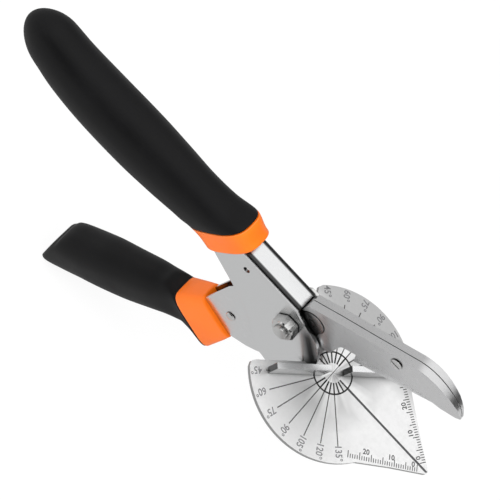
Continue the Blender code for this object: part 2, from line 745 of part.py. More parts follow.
def blade_screw(axis):
    """Screw through both plates: a low round head on the near side."""
    centre = on_edge(SCREW_ALONG, SCREW_ABOVE)
    face = -JAW_NEAR - GAP
    head = face - SCREW_HEAD
    profile = [(head, SCREW_HEAD_R * 0.8), (head + SCREW_HEAD * 0.5, SCREW_HEAD_R), (face, SCREW_HEAD_R),
               (face, SCREW_R), (JAW_FAR, SCREW_R)]
    screw = add_object("blade_screw", turned(profile, centre, 20), ZINC, axis, smooth=True)
    slot = SCREW_SLOT / 2.0
    bar = [(centre[0] - SCREW_HEAD_R * 2.0, centre[1] - slot), (centre[0] + SCREW_HEAD_R * 2.0, centre[1] - slot),
           (centre[0] + SCREW_HEAD_R * 2.0, centre[1] + slot), (centre[0] - SCREW_HEAD_R * 2.0, centre[1] + slot)]
    cut(screw, prism(bar, head - OVERRUN, head + SCREW_HEAD * 0.6), "slot")
    return screw


def jaw_rivet(axis):
    """Flush rivet through both lobes and both jaw plates."""
    return add_object("jaw_rivet", rod(jaw_rivet_place(), RIVET_R, -LEVER_HALF, LEVER_HALF, 16), ZINC, axis, smooth=True)


def hook_rivet(axis):
    """Rivet through the lever that also carries the lock hook."""
    near = -LEVER_HALF - GAP
    far = hook_span()[1] + GAP
    dome = RIVET_HEAD * 0.6
    profile = [(near - RIVET_HEAD, RIVET_HEAD_R * 0.45), (near - dome, RIVET_HEAD_R * 0.85), (near, RIVET_HEAD_R),
               (near, RIVET_R), (far, RIVET_R), (far, RIVET_HEAD_R), (far + dome, RIVET_HEAD_R * 0.85),
               (far + RIVET_HEAD, RIVET_HEAD_R * 0.45)]
    return add_object("hook_rivet", turned(profile, hook_place(), 16), ZINC, axis, smooth=True)


# Lock hook, about its own rivet

def hook_span():
    low = FRAME_HALF + GAP
    return low, low + HOOK_THICK


def hook_outline():
    """A short arm with a round eye, a thumb nub and a hooked nose."""
    eye = arc((0.0, 0.0), HOOK_WIDE / 2.0, math.radians(105.0), math.radians(255.0), 8)
    low_shares = ((0.45, -0.5), (0.8, -0.48), (1.0, -0.3), (1.06, 0.05))
    mouth_shares = ((0.98, 0.42), (0.82, 0.52), (0.72, 0.40), (0.70, 0.16), (0.56, 0.02), (0.42, 0.14), (0.36, 0.44))
    low = scaled(low_shares, HOOK_LONG, HOOK_WIDE)
    mouth = eased(scaled(mouth_shares, HOOK_LONG, HOOK_WIDE), 2)
    c, s = math.cos(HOOK_REST), math.sin(HOOK_REST)
    return [(x * c - z * s, x * s + z * c) for x, z in eye + low + mouth]


def lock_hook(axis):
    low, high = hook_span()
    hook = add_object("lock_hook", prism(hook_outline(), low, high), ORANGE, axis, smooth=True)
    add_union(hook, rod((0.0, 0.0), HOOK_BOSS_R, LEVER_HALF + GAP, high - HOOK_THICK / 2.0, 20), "boss")
    cut(hook, rod((0.0, 0.0), RIVET_R + GAP, LEVER_HALF - OVERRUN, high + OVERRUN, 16), "bore")
    return hook


# Handles

def rounded_ring(centre, up, half_wide, half_high, square, shift=None, sides=28):
    """A rounded section across Y. The shift, if any, moves each point by its height."""
    ring = []
    for i in range(sides):
        a = 2.0 * math.pi * i / sides
        c, s = math.cos(a), math.sin(a)
        wide = half_wide * math.copysign(abs(c) ** (2.0 / square), c)
        high = half_high * math.copysign(abs(s) ** (2.0 / square), s)
        point = centre + up * high + Vector((0.0, wide, 0.0))
        ring.append(point + shift * high if shift else point)
    return ring


def upper_station(share):
    """The frame handle's lift, half width, half height and squareness at a share of its length."""
    rows_share = ((0.30, -0.08, 0.73, 0.94, 3.0), (0.36, -0.06, 0.735, 0.94, 3.0), (0.413, 0.16, 0.79, 1.0, 3.0),
                  (0.455, -0.02, 0.83, 0.90, 2.6), (0.50, -0.10, 0.87, 0.89, 2.3), (0.56, -0.16, 0.94, 0.95, 2.2),
                  (0.65, -0.22, 1.00, 1.00, 2.2), (0.77, -0.26, 0.99, 0.985, 2.2), (0.86, -0.19, 0.93, 0.93, 2.2),
                  (0.925, 0.0, 0.86, 0.86, 2.2), (1.00, 0.10, 0.76, 0.76, 2.2))
    pairs = list(zip(rows_share, rows_share[1:]))
    low, high = next((pair for pair in pairs if share <= pair[1][0]), pairs[-1])
    t = (share - low[0]) / (high[0] - low[0])
    t = t * t * (3.0 - 2.0 * t)
    lift, wide, tall, square = (a + (b - a) * t for a, b in zip(low[1:], high[1:]))
    return lift * UPPER_HALF_HIGH, wide * UPPER_HALF_WIDE, tall * UPPER_HALF_HIGH, square


def upper_ring(place, slant=0.0, shrink=0.0, size=1.0):
    """One section of the frame handle at a distance behind the ring's centre."""
    lift, wide, high, square = upper_station(place / UPPER_LONG)
    centre = Vector((-place, 0.0, UPPER_AXIS + lift))
    lean = Vector((slant, 0.0, 0.0))
    return rounded_ring(centre, Vector((0.0, 0.0, 1.0)), wide * size - shrink, high * size - shrink, square, lean)


def upper_sleeve(clearance):
    """Sections of the sleeve from the collar to its end, grown by a clearance for the grip's room."""
    waist = UPPER_BORDER + SPIGOT_LONG * 0.5
    return [upper_ring(UPPER_BORDER, UPPER_BORDER_SLANT, SPIGOT_INSET - clearance),
            upper_ring(waist, UPPER_BORDER_SLANT * 0.45, SPIGOT_INSET * 1.6 - clearance),
            upper_ring(UPPER_BORDER + SPIGOT_LONG + clearance, 0.0, SPIGOT_INSET * 1.6 - clearance)]


def upper_core(ring):
    """Collar with a slanted front lip, and the sleeve that the grip is pushed on to."""
    lip = EDGE_ROUND * 3.0
    rings = [upper_ring(UPPER_FRONT, UPPER_FRONT_SLANT, lip), upper_ring(UPPER_FRONT + lip, UPPER_FRONT_SLANT, 0.0),
             upper_ring(UPPER_FRONT + lip * 4.0, UPPER_FRONT_SLANT, lip * 0.5),
             upper_ring(UPPER_BORDER, UPPER_BORDER_SLANT, 0.0), *upper_sleeve(0.0)]
    core = add_object("frame_handle_core", loft(rings), ORANGE, ring, smooth=True)
    cut(core, tang_room(), "tang_room")
    return core


def tang_room():
    """Space for the frame's sheet inside the handle."""
    tang = tang_outline()
    ahead = -WEB_BACK * 0.6
    block = [(ahead, WEB_RISE), *tang, (ahead, -CHEEK_DROP * 0.5)]
    return prism(about_pivot(grown(block, GAP)), -FRAME_HALF - GAP, FRAME_HALF + GAP)


def upper_grip(ring):
    """Soft grip with a guard at the collar and a rounded end."""
    edge = EDGE_ROUND * 3.0
    start = UPPER_BORDER + GAP
    rings = [upper_ring(start, UPPER_BORDER_SLANT, SPIGOT_INSET * 2.0), upper_ring(start, UPPER_BORDER_SLANT, edge),
             upper_ring(start + edge, UPPER_BORDER_SLANT)]
    places_share = (0.445, 0.475, 0.52, 0.58, 0.64, 0.70, 0.76, 0.82, 0.88, 0.92)
    for share in places_share:
        fade = max(0.0, 1.0 - (share - 0.42) * 10.0)
        rings.append(upper_ring(share * UPPER_LONG, UPPER_BORDER_SLANT * fade))
    last = places_share[-1] * UPPER_LONG
    depth = UPPER_LONG - last
    for step_share in (0.22, 0.42, 0.60, 0.76, 0.90, 0.97):
        rings.append(upper_ring(last + depth * step_share, size=math.sqrt(1.0 - step_share**2)))
    grip = add_object("frame_grip", loft(rings), BLACK, ring, smooth=True)
    mouth = upper_ring(UPPER_BORDER - OVERRUN, UPPER_BORDER_SLANT, SPIGOT_INSET - GAP)
    cut(grip, loft([mouth, *upper_sleeve(GAP)]), "core_room")
    cut(grip, tang_room(), "tang_room")
    return grip


def lower_ring(row_share, shrink=0.0, shift=0.0):
    """One section of the lever's handle from a row of shares: place, lean, half height, half width, squareness."""
    back, drop, lean, high, wide, square = row_share
    angle = math.radians(90.0) * lean
    up = Vector((-math.cos(angle), 0.0, math.sin(angle)))
    way = Vector((-math.sin(angle), 0.0, -math.cos(angle)))
    centre = Vector((-back * LOWER_BACK, 0.0, -drop * LOWER_DROP)) + way * shift
    return rounded_ring(centre, up, wide * LOWER_HALF_WIDE - shrink, high * LOWER_HALF_HIGH - shrink, square)


def lower_core(axis):
    """Collar at the mouth of the lever's handle, and its sleeve."""
    lip = EDGE_ROUND * 2.0
    rings = [lower_ring(MOUTH_SHARES, lip), lower_ring(MOUTH_SHARES, shift=lip), lower_ring(BORDER_SHARES),
             lower_ring(BORDER_SHARES, SPIGOT_INSET), lower_ring(SLEEVE_END_SHARES, SPIGOT_INSET * 1.5)]
    core = add_object("lever_handle_core", loft(rings), ORANGE, axis, smooth=True)
    cut(core, lever_tang_room(), "tang_room")
    return core


def lever_tang_room():
    block = [lever_rear()[-1], *tang_points(), lever_front()[0]]
    room = grown(block, GAP)
    return prism(room, -LEVER_HALF - GAP, LEVER_HALF + GAP)


def lower_grip(axis):
    """Soft grip that swings back from the collar to a slanted flat end."""
    edge = EDGE_ROUND * 3.0
    rows_share = ((0.308, 0.532, 0.29, 0.97, 0.67, 4.0), (0.357, 0.538, 0.35, 0.82, 0.66, 3.5),
                  (0.386, 0.553, 0.41, 0.80, 0.68, 3.2), (0.431, 0.583, 0.48, 0.77, 0.74, 3.0),
                  (0.497, 0.630, 0.54, 0.82, 0.83, 2.7), (0.599, 0.707, 0.55, 0.88, 0.90, 2.6),
                  (0.701, 0.776, 0.54, 0.89, 0.95, 2.6), (0.783, 0.834, 0.51, 0.86, 0.96, 2.6),
                  (0.850, 0.882, 0.50, 0.85, 0.94, 2.6), (0.925, 0.940, 0.70, 0.84, 0.90, 2.8),
                  (0.975, 0.985, 0.92, 0.86, 0.85, 3.0), (0.996, 0.996, 0.98, 0.82, 0.76, 3.0),
                  (1.0, 0.997, 0.98, 0.73, 0.66, 3.0))
    rings = [lower_ring(BORDER_SHARES, SPIGOT_INSET * 2.0, GAP), lower_ring(BORDER_SHARES, edge, GAP),
             lower_ring(BORDER_SHARES, 0.0, GAP + edge)]
    rings += [lower_ring(row) for row in rows_share]
    grip = add_object("lever_grip", loft(rings), BLACK, axis, smooth=True)
    room = [lower_ring(BORDER_SHARES, SPIGOT_INSET - GAP, -OVERRUN), lower_ring(BORDER_SHARES, SPIGOT_INSET - GAP),
            lower_ring(SLEEVE_END_SHARES, SPIGOT_INSET * 1.5 - GAP, GAP)]
    cut(grip, loft(room), "core_room")
    cut(grip, lever_tang_room(), "tang_room")
    return grip


def build():
    clear_scene()
    ring = add_axis("bed_ring", RING_CENTRE)
    lever_axis = add_axis("lever_axis", PIVOT, ring)
    hook_axis = add_axis("hook_axis", Vector((hook_place()[0], 0.0, hook_place()[1])), lever_axis)
    frame_channel(ring)
    bed_plate(ring)
    for name, (start, end) in fence_spans().items():
        fence(name, start, end, ring)
    pivot_bolt(ring)
    pivot_nut(ring)
    pivot_bush(ring)
    upper_core(ring)
    upper_grip(ring)
    first, second = spring_paths()
    measure_spring(first, second)
    wire("frame_spring_arm", [PIVOT + p for p in first], ring)
    wire("lever_spring_arm", second, lever_axis)
    lever_channel(lever_axis)
    near_jaw(lever_axis)
    far_jaw(lever_axis)
    blade(lever_axis)
    blade_screw(lever_axis)
    jaw_rivet(lever_axis)
    hook_rivet(lever_axis)
    lower_core(lever_axis)
    lower_grip(lever_axis)
    lock_hook(hook_axis)


build()
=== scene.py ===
"""Finishes, bed marks, grips and small fasteners for a pair of mitre shears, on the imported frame."""

import json
from math import atan2, copysign, cos, degrees, pi, radians, sin, sqrt

import bmesh
import bpy
from bpy.props import FloatProperty, FloatVectorProperty, IntProperty, PointerProperty
from bpy.types import Operator, Panel, PropertyGroup
from mathutils import Matrix, Vector

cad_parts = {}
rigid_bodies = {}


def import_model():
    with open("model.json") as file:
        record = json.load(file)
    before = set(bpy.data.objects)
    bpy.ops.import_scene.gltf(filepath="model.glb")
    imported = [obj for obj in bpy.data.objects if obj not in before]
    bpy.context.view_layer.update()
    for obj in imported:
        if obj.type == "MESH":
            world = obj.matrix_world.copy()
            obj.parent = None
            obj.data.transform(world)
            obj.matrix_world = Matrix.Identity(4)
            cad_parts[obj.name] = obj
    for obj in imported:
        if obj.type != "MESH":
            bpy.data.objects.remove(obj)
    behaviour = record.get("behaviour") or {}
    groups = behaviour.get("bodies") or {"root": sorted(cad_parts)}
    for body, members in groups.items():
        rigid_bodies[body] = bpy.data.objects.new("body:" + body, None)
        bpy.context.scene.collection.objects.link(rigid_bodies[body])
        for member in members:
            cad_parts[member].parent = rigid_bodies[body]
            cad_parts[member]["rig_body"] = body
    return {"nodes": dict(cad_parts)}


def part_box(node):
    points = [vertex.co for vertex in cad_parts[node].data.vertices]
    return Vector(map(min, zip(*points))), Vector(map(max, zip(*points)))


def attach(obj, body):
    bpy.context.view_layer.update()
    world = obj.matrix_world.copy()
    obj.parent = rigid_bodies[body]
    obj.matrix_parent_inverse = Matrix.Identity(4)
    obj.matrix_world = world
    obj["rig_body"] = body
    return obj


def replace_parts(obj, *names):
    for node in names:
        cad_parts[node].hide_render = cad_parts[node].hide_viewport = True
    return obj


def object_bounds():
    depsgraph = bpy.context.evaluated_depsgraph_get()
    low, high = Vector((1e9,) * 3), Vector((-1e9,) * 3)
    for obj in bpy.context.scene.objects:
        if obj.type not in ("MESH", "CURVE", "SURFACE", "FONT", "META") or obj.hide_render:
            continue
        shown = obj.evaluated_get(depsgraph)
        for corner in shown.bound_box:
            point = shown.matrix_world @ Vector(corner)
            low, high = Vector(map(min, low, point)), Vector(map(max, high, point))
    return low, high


bl_info = {
    "name": "Mitre shears dressing",
    "version": (1, 0, 0),
    "blender": (4, 5, 0),
    "location": "View3D > Sidebar > Mitre Shears",
    "description": "Dresses the packed mitre shears with finishes, bed marks, grips and fasteners",
    "category": "Object",
}

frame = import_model()
CAD_BOX = [list(corner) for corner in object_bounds()]
MM = 0.001

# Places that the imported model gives
NUT_LOW, NUT_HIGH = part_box("pivot_nut")
BOLT_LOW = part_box("pivot_bolt")[0]
PIVOT = (NUT_LOW + NUT_HIGH) / 2.0
RING = Vector((40.0 * MM, 0.0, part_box("bed_plate")[1].z))
CHEEK_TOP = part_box("frame_channel")[1].z

# Directions across and along the front edge of the cheeks, and across the fences' ends
NOSE_WAY = (0.73, 0.0, 0.68)
NOSE_ALONG = (0.68, 0.0, -0.73)
FENCE_WAY = (cos(radians(45.0)), sin(radians(45.0)), 0.0)


def paint(name, value, description):
    return FloatVectorProperty(name=name, description=description, default=value, subtype="COLOR", size=3,
                               min=0.0, max=1.0)


def mm(name, value, description):
    return FloatProperty(name=name, description=description, default=value * MM, subtype="DISTANCE",
                         unit="LENGTH", min=0.0, precision=4)


def arc(name, value, description):
    return FloatProperty(name=name, description=description, default=radians(value), subtype="ANGLE")


def fraction(name, value, description):
    return FloatProperty(name=name, description=description, default=value, subtype="FACTOR", min=0.0, max=1.0)


def amount(name, value, description):
    return FloatProperty(name=name, description=description, default=value, min=0.0)


def whole(name, value, description, least):
    return IntProperty(name=name, description=description, default=value, min=least)


# Settings

class FinishSettings(PropertyGroup):
    """Colours and grain of the metals and the moulded parts."""

    frame_colour: paint("Frame steel", (0.88, 0.885, 0.89), "Colour of the plated frame and lever")
    bed_colour: paint("Bed steel", (0.95, 0.95, 0.95), "Colour of the pale bed")
    jaw_colour: paint("Jaw steel", (0.80, 0.80, 0.805), "Colour of the brushed jaw plates")
    blade_colour: paint("Blade steel", (0.88, 0.885, 0.89), "Colour of the ground blade")
    zinc_colour: paint("Zinc", (0.84, 0.84, 0.83), "Colour of nuts, bolts and rivets")
    spring_colour: paint("Spring steel", (0.24, 0.24, 0.25), "Colour of the drawn wire")
    orange_colour: paint("Orange plastic", (0.85, 0.155, 0.004), "Colour of the collars and the lock hook")
    rubber_colour: paint("Black rubber", (0.003, 0.003, 0.0033), "Colour of the grips")
    # Brightens the metals' edges, for edge wear and a painted highlight; on the bed it darkens the rims.
    wear: fraction("Edge wear", 0.5, "How bright the worn edges of the metal are")
    grain_depth: mm("Grain depth", 0.0015, "Depth of the brushed grain")
    pebble: mm("Pebble size", 0.7, "Size of the fine texture on the grips")
    pebble_depth: mm("Pebble depth", 0.03, "Depth of the fine texture on the grips")


class MarkSettings(PropertyGroup):
    """Sizes of the marks etched on the bed."""

    ring_radius: mm("Ring radius", 8.3, "Radius of the black ring")
    ring_line: mm("Ring line", 0.62, "Width of the black ring's line")
    spoke_start: mm("Spoke start", 3.9, "Radius where the short spokes start")
    spoke_line: mm("Spoke line", 0.60, "Width of the short spokes")
    hub_line: mm("Hub line", 0.22, "Width of the fine line across the middle")
    line_end: mm("Line end", 28.2, "Radius where the angle lines end")
    line_width: mm("Line width", 0.42, "Width of the angle lines")
    angle_step: arc("Angle step", 15.0, "Angle between two lines")
    first_angle: arc("First angle", 45.0, "Smallest marked angle")
    angle_count: whole("Angles", 7, "How many angles are marked", 1)
    label_radius: mm("Label radius", 32.2, "Radius of the middle of the first angle number")
    label_step: mm("Label step", 0.22, "How much nearer each next angle number stands")
    label_size: mm("Label size", 4.0, "Size of the angle numbers")
    number_size: mm("Number size", 2.9, "Size of the ruler numbers")
    short_line: mm("Short ruler line", 1.6, "Length of the lines for one pitch")
    long_line: mm("Long ruler line", 2.8, "Length of every fifth line")
    ruler_line: mm("Ruler line", 0.34, "Width of the ruler lines")
    ruler_count: whole("Ruler lines", 31, "How many lines a ruler has", 2)
    # The slit's dark floor is a painted shadow laid inside the slit.
    slit_width: mm("Slit width", 0.86, "Width of the dark floor of the slit")
    slit_depth: mm("Slit depth", 0.42, "Depth of the dark floor of the slit")
    slit_end: mm("Slit end", 53.0, "Radius where the slit's floor ends")
    raise_by: mm("Mark height", 0.03, "Thickness of the marks on the steel")
    bold: mm("Bold", 0.06, "How much the strokes of the numbers are thickened")


class GripSettings(PropertyGroup):
    """How finely the handles are drawn."""

    sides: whole("Sides", 72, "Points round each handle", 16)
    steps: whole("Steps", 6, "Sections between two given ones", 1)
    lip: mm("Lip", 0.75, "Rounding at the mouths of collars and grips")
    border_gap: mm("Border gap", 0.3, "Gap between collar and grip")


class FastenerSettings(PropertyGroup):
    """Sizes of the details on nut and bolt."""

    thread_radius: mm("Thread radius", 2.9, "Radius of the pivot bolt's thread")
    thread_pitch: mm("Thread pitch", 0.5, "Rise of one turn")
    thread_depth: mm("Thread depth", 0.2, "Radius of the thread's ridge")
    hex_across: mm("Hex across", 9.2, "Width across the nut's flats")
    chamfer: mm("Chamfer", 0.6, "Size of the chamfer on the nut's outer end")
    nut_drop: mm("Nut drop", 1.0, "How far the bolt's end stands out of the nut")


class StudioSettings(PropertyGroup):
    """Lights, floor and camera."""

    floor_gap: mm("Floor gap", 1.0, "Distance from the lowest point to the floor")
    floor_size: mm("Floor size", 12000.0, "Width of the floor")
    white_share: fraction("White share", 0.86, "How much of the floor's white needs no light")
    sky: amount("Sky", 0.62, "Strength of the even light")
    key_power: amount("Key light", 7.5, "Power of the main lamp in watts")
    fill_power: amount("Fill light", 3.0, "Power of the side lamp in watts")
    card_size: mm("Card size", 1600.0, "Width of the grey card under the object")
    card_shade: fraction("Card shade", 0.60, "Brightness of the grey card under the object")
    lens: amount("Lens", 113.114, "Focal length in millimetres")


class ShearsSettings(PropertyGroup):
    """Everything that a user of this add-on can change."""

    finishes: PointerProperty(type=FinishSettings)
    marks: PointerProperty(type=MarkSettings)
    grips: PointerProperty(type=GripSettings)
    fasteners: PointerProperty(type=FastenerSettings)
    studio: PointerProperty(type=StudioSettings)


def sizes():
    return bpy.context.scene.mitre_shears


# Node trees

class Nodes:
    """A node tree with short calls for the nodes that are used here."""

    def __init__(self, tree):
        self.tree = tree

    def add(self, kind, inputs=None, **settings):
        node = self.tree.nodes.new(kind)
        for key, value in settings.items():
            setattr(node, key, value)
        for key, value in (inputs or {}).items():
            self.feed(node.inputs[key], value)
        return node

    def out(self, kind, inputs=None, **settings):
        """The first output of a new node."""
        return self.add(kind, inputs, **settings).outputs[0]

    def feed(self, socket, value):
        if isinstance(value, bpy.types.NodeSocket):
            self.tree.links.new(value, socket)
        else:
            socket.default_value = value

    def stretch(self, value, low, high, to_low=0.0, to_high=1.0):
        inputs = {"Value": value, "From Min": low, "From Max": high, "To Min": to_low, "To Max": to_high}
        return self.add("ShaderNodeMapRange", inputs, clamp=True).outputs["Result"]

    def share(self, operation, first, second=0.0):
        """Maths whose result stays between 0 and 1."""
        return self.out("ShaderNodeMath", {0: first, 1: second}, operation=operation, use_clamp=True)

    def times(self, first, *others):
        for other in others:
            first = self.share("MULTIPLY", first, other)
        return first

    def measure(self, operation, first, second=(0.0, 0.0, 0.0)):
        """A number that vector maths gives."""
        return self.add("ShaderNodeVectorMath", {0: first, 1: second}, operation=operation).outputs["Value"]

    def axes(self, vector):
        return self.add("ShaderNodeSeparateXYZ", {0: vector}).outputs


def tone(colour, factor=1.0):
    return (*[min(1.0, c * factor) for c in colour], 1.0)


# Materials

# Cosines between an edge's true and rounded normals at which it starts and ends being sharp
SHARP = (0.995, 0.86)


class Finish(Nodes):
    """A material with its shader's sockets and the object's coordinates."""

    def __init__(self, name, metallic):
        self.material = bpy.data.materials.new(name)
        self.material.use_nodes = True
        super().__init__(self.material.node_tree)
        self.shader = self.tree.nodes["Principled BSDF"].inputs
        self.shader["Metallic"].default_value = metallic
        self.place = self.add("ShaderNodeTexCoord").outputs["Object"]

    def noise(self, vector, scale, detail, roughness):
        inputs = {"Vector": vector, "Scale": scale, "Detail": detail, "Roughness": roughness}
        return self.add("ShaderNodeTexNoise", inputs).outputs["Fac"]

    def scaled(self, vector, scale):
        return self.add("ShaderNodeMapping", {"Vector": vector, "Scale": scale}).outputs["Vector"]

    def blend(self, share, first, second):
        return self.add("ShaderNodeMix", {0: share, 6: first, 7: second}, data_type="RGBA").outputs[2]

    def normal(self):
        return self.add("ShaderNodeNewGeometry").outputs["Normal"]

    def rounded(self, radius, samples):
        return self.add("ShaderNodeBevel", {"Radius": radius}, samples=samples).outputs["Normal"]

    def edges(self, radius):
        """1 on sharp edges and 0 on open faces, and the normal that rounds them."""
        soft = self.rounded(radius, 6)
        return self.stretch(self.measure("DOT_PRODUCT", soft, self.normal()), *SHARP), soft

    def corners(self, reach, dark, clear=0.75):
        """1 in the open and the given dark share deep in corners and gaps: painted shade where less light reaches.
        """
        open_sky = self.add("ShaderNodeAmbientOcclusion", {"Distance": reach}, samples=8).outputs["AO"]
        return self.stretch(open_sky, 0.15, clear, dark, 1.0)

    def flats(self, low, high):
        """1 on faces that look up or down and 0 on upright sides."""
        return self.stretch(self.share("ABSOLUTE", self.axes(self.normal())["Z"]), low, high)

    def band(self, value, rise, fall):
        """1 between a rise and a fall, 0 outside them."""
        return self.times(self.stretch(value, *rise), self.stretch(value, *fall, 1.0, 0.0))

    def close(self, colour, roughness, height, depth, strength, soft=None):
        """Colour, roughness and fine relief go to the shader."""
        self.feed(self.shader["Base Color"], colour)
        self.feed(self.shader["Roughness"], roughness)
        inputs = {"Height": height, "Strength": strength, "Distance": depth}
        if soft:
            inputs["Normal"] = soft
        self.feed(self.shader["Normal"], self.add("ShaderNodeBump", inputs).outputs["Normal"])
        return self.material


# Bands on the steel: where each one rises and falls
BEND_LIGHT = (CHEEK_TOP - 4.4 * MM, CHEEK_TOP - 3.4 * MM)
BEND_HIGH = (CHEEK_TOP - 3.4 * MM, CHEEK_TOP - 2.4 * MM)
BEND_RISE, BEND_FALL = (2.9 * MM, 3.5 * MM), (4.9 * MM, 5.3 * MM)
NOSE_RISE, NOSE_FALL = (4.9 * MM, 8.3 * MM), (9.9 * MM, 12.4 * MM)
NOSE_LOW = (13.0 * MM, 21.0 * MM)
PIVOT_SHADE_BAND = (13.0 * MM, 17.0 * MM)
FAR_LOBE = (13.0 * MM, 22.0 * MM)
SWEEPS = (10.0 * MM, 24.0 * MM)

# How bright the steel is in those bands of painted reflection and painted shade, in the painted shade of gaps and on
# the fences' ends, which are painted dark as shade, and the colours of edges, which stand for wear and a painted
# highlight
BEND_REFLECTION_TONE, NOSE_REFLECTION_TONE, PIVOT_SHADE_TONE = 0.06, 0.08, 0.04
AO_SHADE_TONE, END_SHADE_TONE, FAR_REFLECTION_TONE = 0.03, 0.09, 0.56
EDGE_WEAR_AND_HIGHLIGHT = (0.95, 0.95, 0.96)
PALE_ORANGE = (1.0, 0.42, 0.20)


def bent_normal(f, soft, radius):
    """Rounds the light over the bends along the top of the frame."""
    share = f.stretch(f.axes(f.place)["Z"], *BEND_LIGHT)
    wide = f.rounded(radius, 8)
    return f.add("ShaderNodeMix", {0: share, 4: soft, 5: wide}, data_type="VECTOR").outputs[1]


def bend_share(f):
    """Painted reflection: a dark band along the bends between the web and the cheeks."""
    axes = f.axes(f.place)
    band = f.band(f.share("ABSOLUTE", axes["Y"]), BEND_RISE, BEND_FALL)
    return f.stretch(f.times(band, f.stretch(axes["Z"], *BEND_HIGH)), 0.0, 1.0, 1.0, BEND_REFLECTION_TONE)


def nose_share(f):
    """Painted reflection: a darker band behind the front edge of the frame's cheeks, fading upwards."""
    band = f.band(f.measure("DOT_PRODUCT", f.place, NOSE_WAY), NOSE_RISE, NOSE_FALL)
    low = f.stretch(f.measure("DOT_PRODUCT", f.place, NOSE_ALONG), *NOSE_LOW)
    return f.stretch(f.times(band, low), 0.0, 1.0, 1.0, NOSE_REFLECTION_TONE)


def pivot_share(f):
    """Painted shade round the pivot's axis."""
    axes = f.axes(f.place)
    level = f.out("ShaderNodeCombineXYZ", {0: axes["X"], 2: axes["Z"]})
    return f.stretch(f.measure("DISTANCE", level, (PIVOT.x, 0.0, PIVOT.z)), *PIVOT_SHADE_BAND, PIVOT_SHADE_TONE, 1.0)


def metal(name, colour, roughness, grain, depth=1.0, blotch=0.05, side_shade_tone=0.85, reach=5.0, clear=0.75,
          bend=0.0, end_way=None, pivot_shaded=False):
    """Brushed or plated metal: grain along one way, faint clouds, upright sides painted darker as shade, brighter
    edges that stand for wear and a painted highlight, painted shade in corners and gaps, and where asked painted
    reflection along the frame's bends and painted shade round the pivot.
    """
    settings = sizes().finishes
    f = Finish(name, 1.0)
    streaks = f.noise(f.scaled(f.place, grain), 1.0, 4.0, 0.6)
    cloud = f.stretch(f.noise(f.place, 45.0, 3.0, 0.55), 0.3, 0.7)
    edge, soft = f.edges(0.15 * MM)
    body = f.blend(cloud, tone(colour, 1.0 - blotch), tone(colour, 1.0 + blotch * 0.5))
    lined = f.blend(f.stretch(streaks, 0.35, 0.75, 0.0, 0.14), body, tone(colour, 0.78))
    # Painted shade: upright sides are darker than faces that look up or down.
    sided = f.blend(f.flats(0.15, 0.75), tone(colour, side_shade_tone), lined)
    # Painted shade: the fences' ends, which face along end_way, are painted nearly black.
    if end_way:
        facing = f.share("ABSOLUTE", f.measure("DOT_PRODUCT", f.normal(), end_way))
        sided = f.blend(f.stretch(facing, 0.80, 0.93), sided, tone(colour, END_SHADE_TONE))
    # Edges go towards a near-white tone: edge wear and a painted highlight.
    bright = f.blend(f.times(edge, settings.wear), sided, tone(EDGE_WEAR_AND_HIGHLIGHT))
    # Painted shade: ambient occlusion darkens corners and gaps towards a near-black tone.
    shade = f.corners(reach * MM, AO_SHADE_TONE, clear)
    # Painted shade round the pivot's axis.
    if pivot_shaded:
        shade = f.times(shade, pivot_share(f))
    # Painted reflection: dark bands along the top bends and behind the cheeks' front edge.
    if bend:
        soft = bent_normal(f, soft, bend)
        shade = f.times(shade, nose_share(f), bend_share(f))
    return f.close(f.blend(shade, tone(colour, AO_SHADE_TONE), bright),
                   f.stretch(streaks, 0.25, 0.75, roughness * 0.88, roughness * 1.15),
                   streaks, settings.grain_depth * depth, 0.3, soft)


def bed_metal(name, colour, roughness):
    """Pale satin steel polished in sweeps from the ring's centre, whose dark tone near the ring and darker far part
    are painted reflection, with its upright cut sides and corners painted darker as shade.
    """
    settings = sizes().finishes
    f = Finish(name, 0.9)
    about = f.out("ShaderNodeVectorMath", {0: f.place, 1: RING}, operation="SUBTRACT")
    turn = f.add("ShaderNodeTexGradient", {"Vector": about}, gradient_type="RADIAL").outputs["Fac"]
    reach = f.measure("LENGTH", about)
    polar = f.out("ShaderNodeCombineXYZ", {0: turn, 1: reach})
    sweep = f.stretch(f.noise(f.scaled(polar, (11.0, 14.0, 1.0)), 1.0, 2.0, 0.5), 0.36, 0.60)
    fine = f.noise(f.place, 700.0, 3.0, 0.6)
    light = f.share("MAXIMUM", sweep, f.stretch(reach, *SWEEPS))
    # Polishing sweeps whose dark tone near the ring is painted reflection.
    shaded = f.blend(light, tone(colour, 0.62), tone(colour, 1.04))
    # Painted reflection: the far part of the bed is darker.
    shaded = f.blend(f.stretch(f.axes(f.place)["Y"], *FAR_LOBE), shaded, tone(colour, FAR_REFLECTION_TONE))
    specked = f.blend(f.stretch(fine, 0.4, 0.8, 0.0, 0.2), shaded, tone(colour, 0.8))
    edge, soft = f.edges(0.12 * MM)
    # Painted shade: the bed's upright sides are darker than its top.
    sided = f.blend(f.flats(0.3, 0.8), tone(colour, 0.42), specked)
    rimmed = f.blend(f.times(edge, settings.wear * 0.5), sided, tone(colour, 0.6))
    # Painted shade: ambient occlusion darkens the bed's corners towards a near-black tone.
    return f.close(f.blend(f.corners(3.0 * MM, 0.25), tone(colour, 0.05), rimmed),
                   f.stretch(fine, 0.3, 0.7, roughness * 0.9, roughness * 1.15),
                   fine, settings.grain_depth, 0.25, soft)


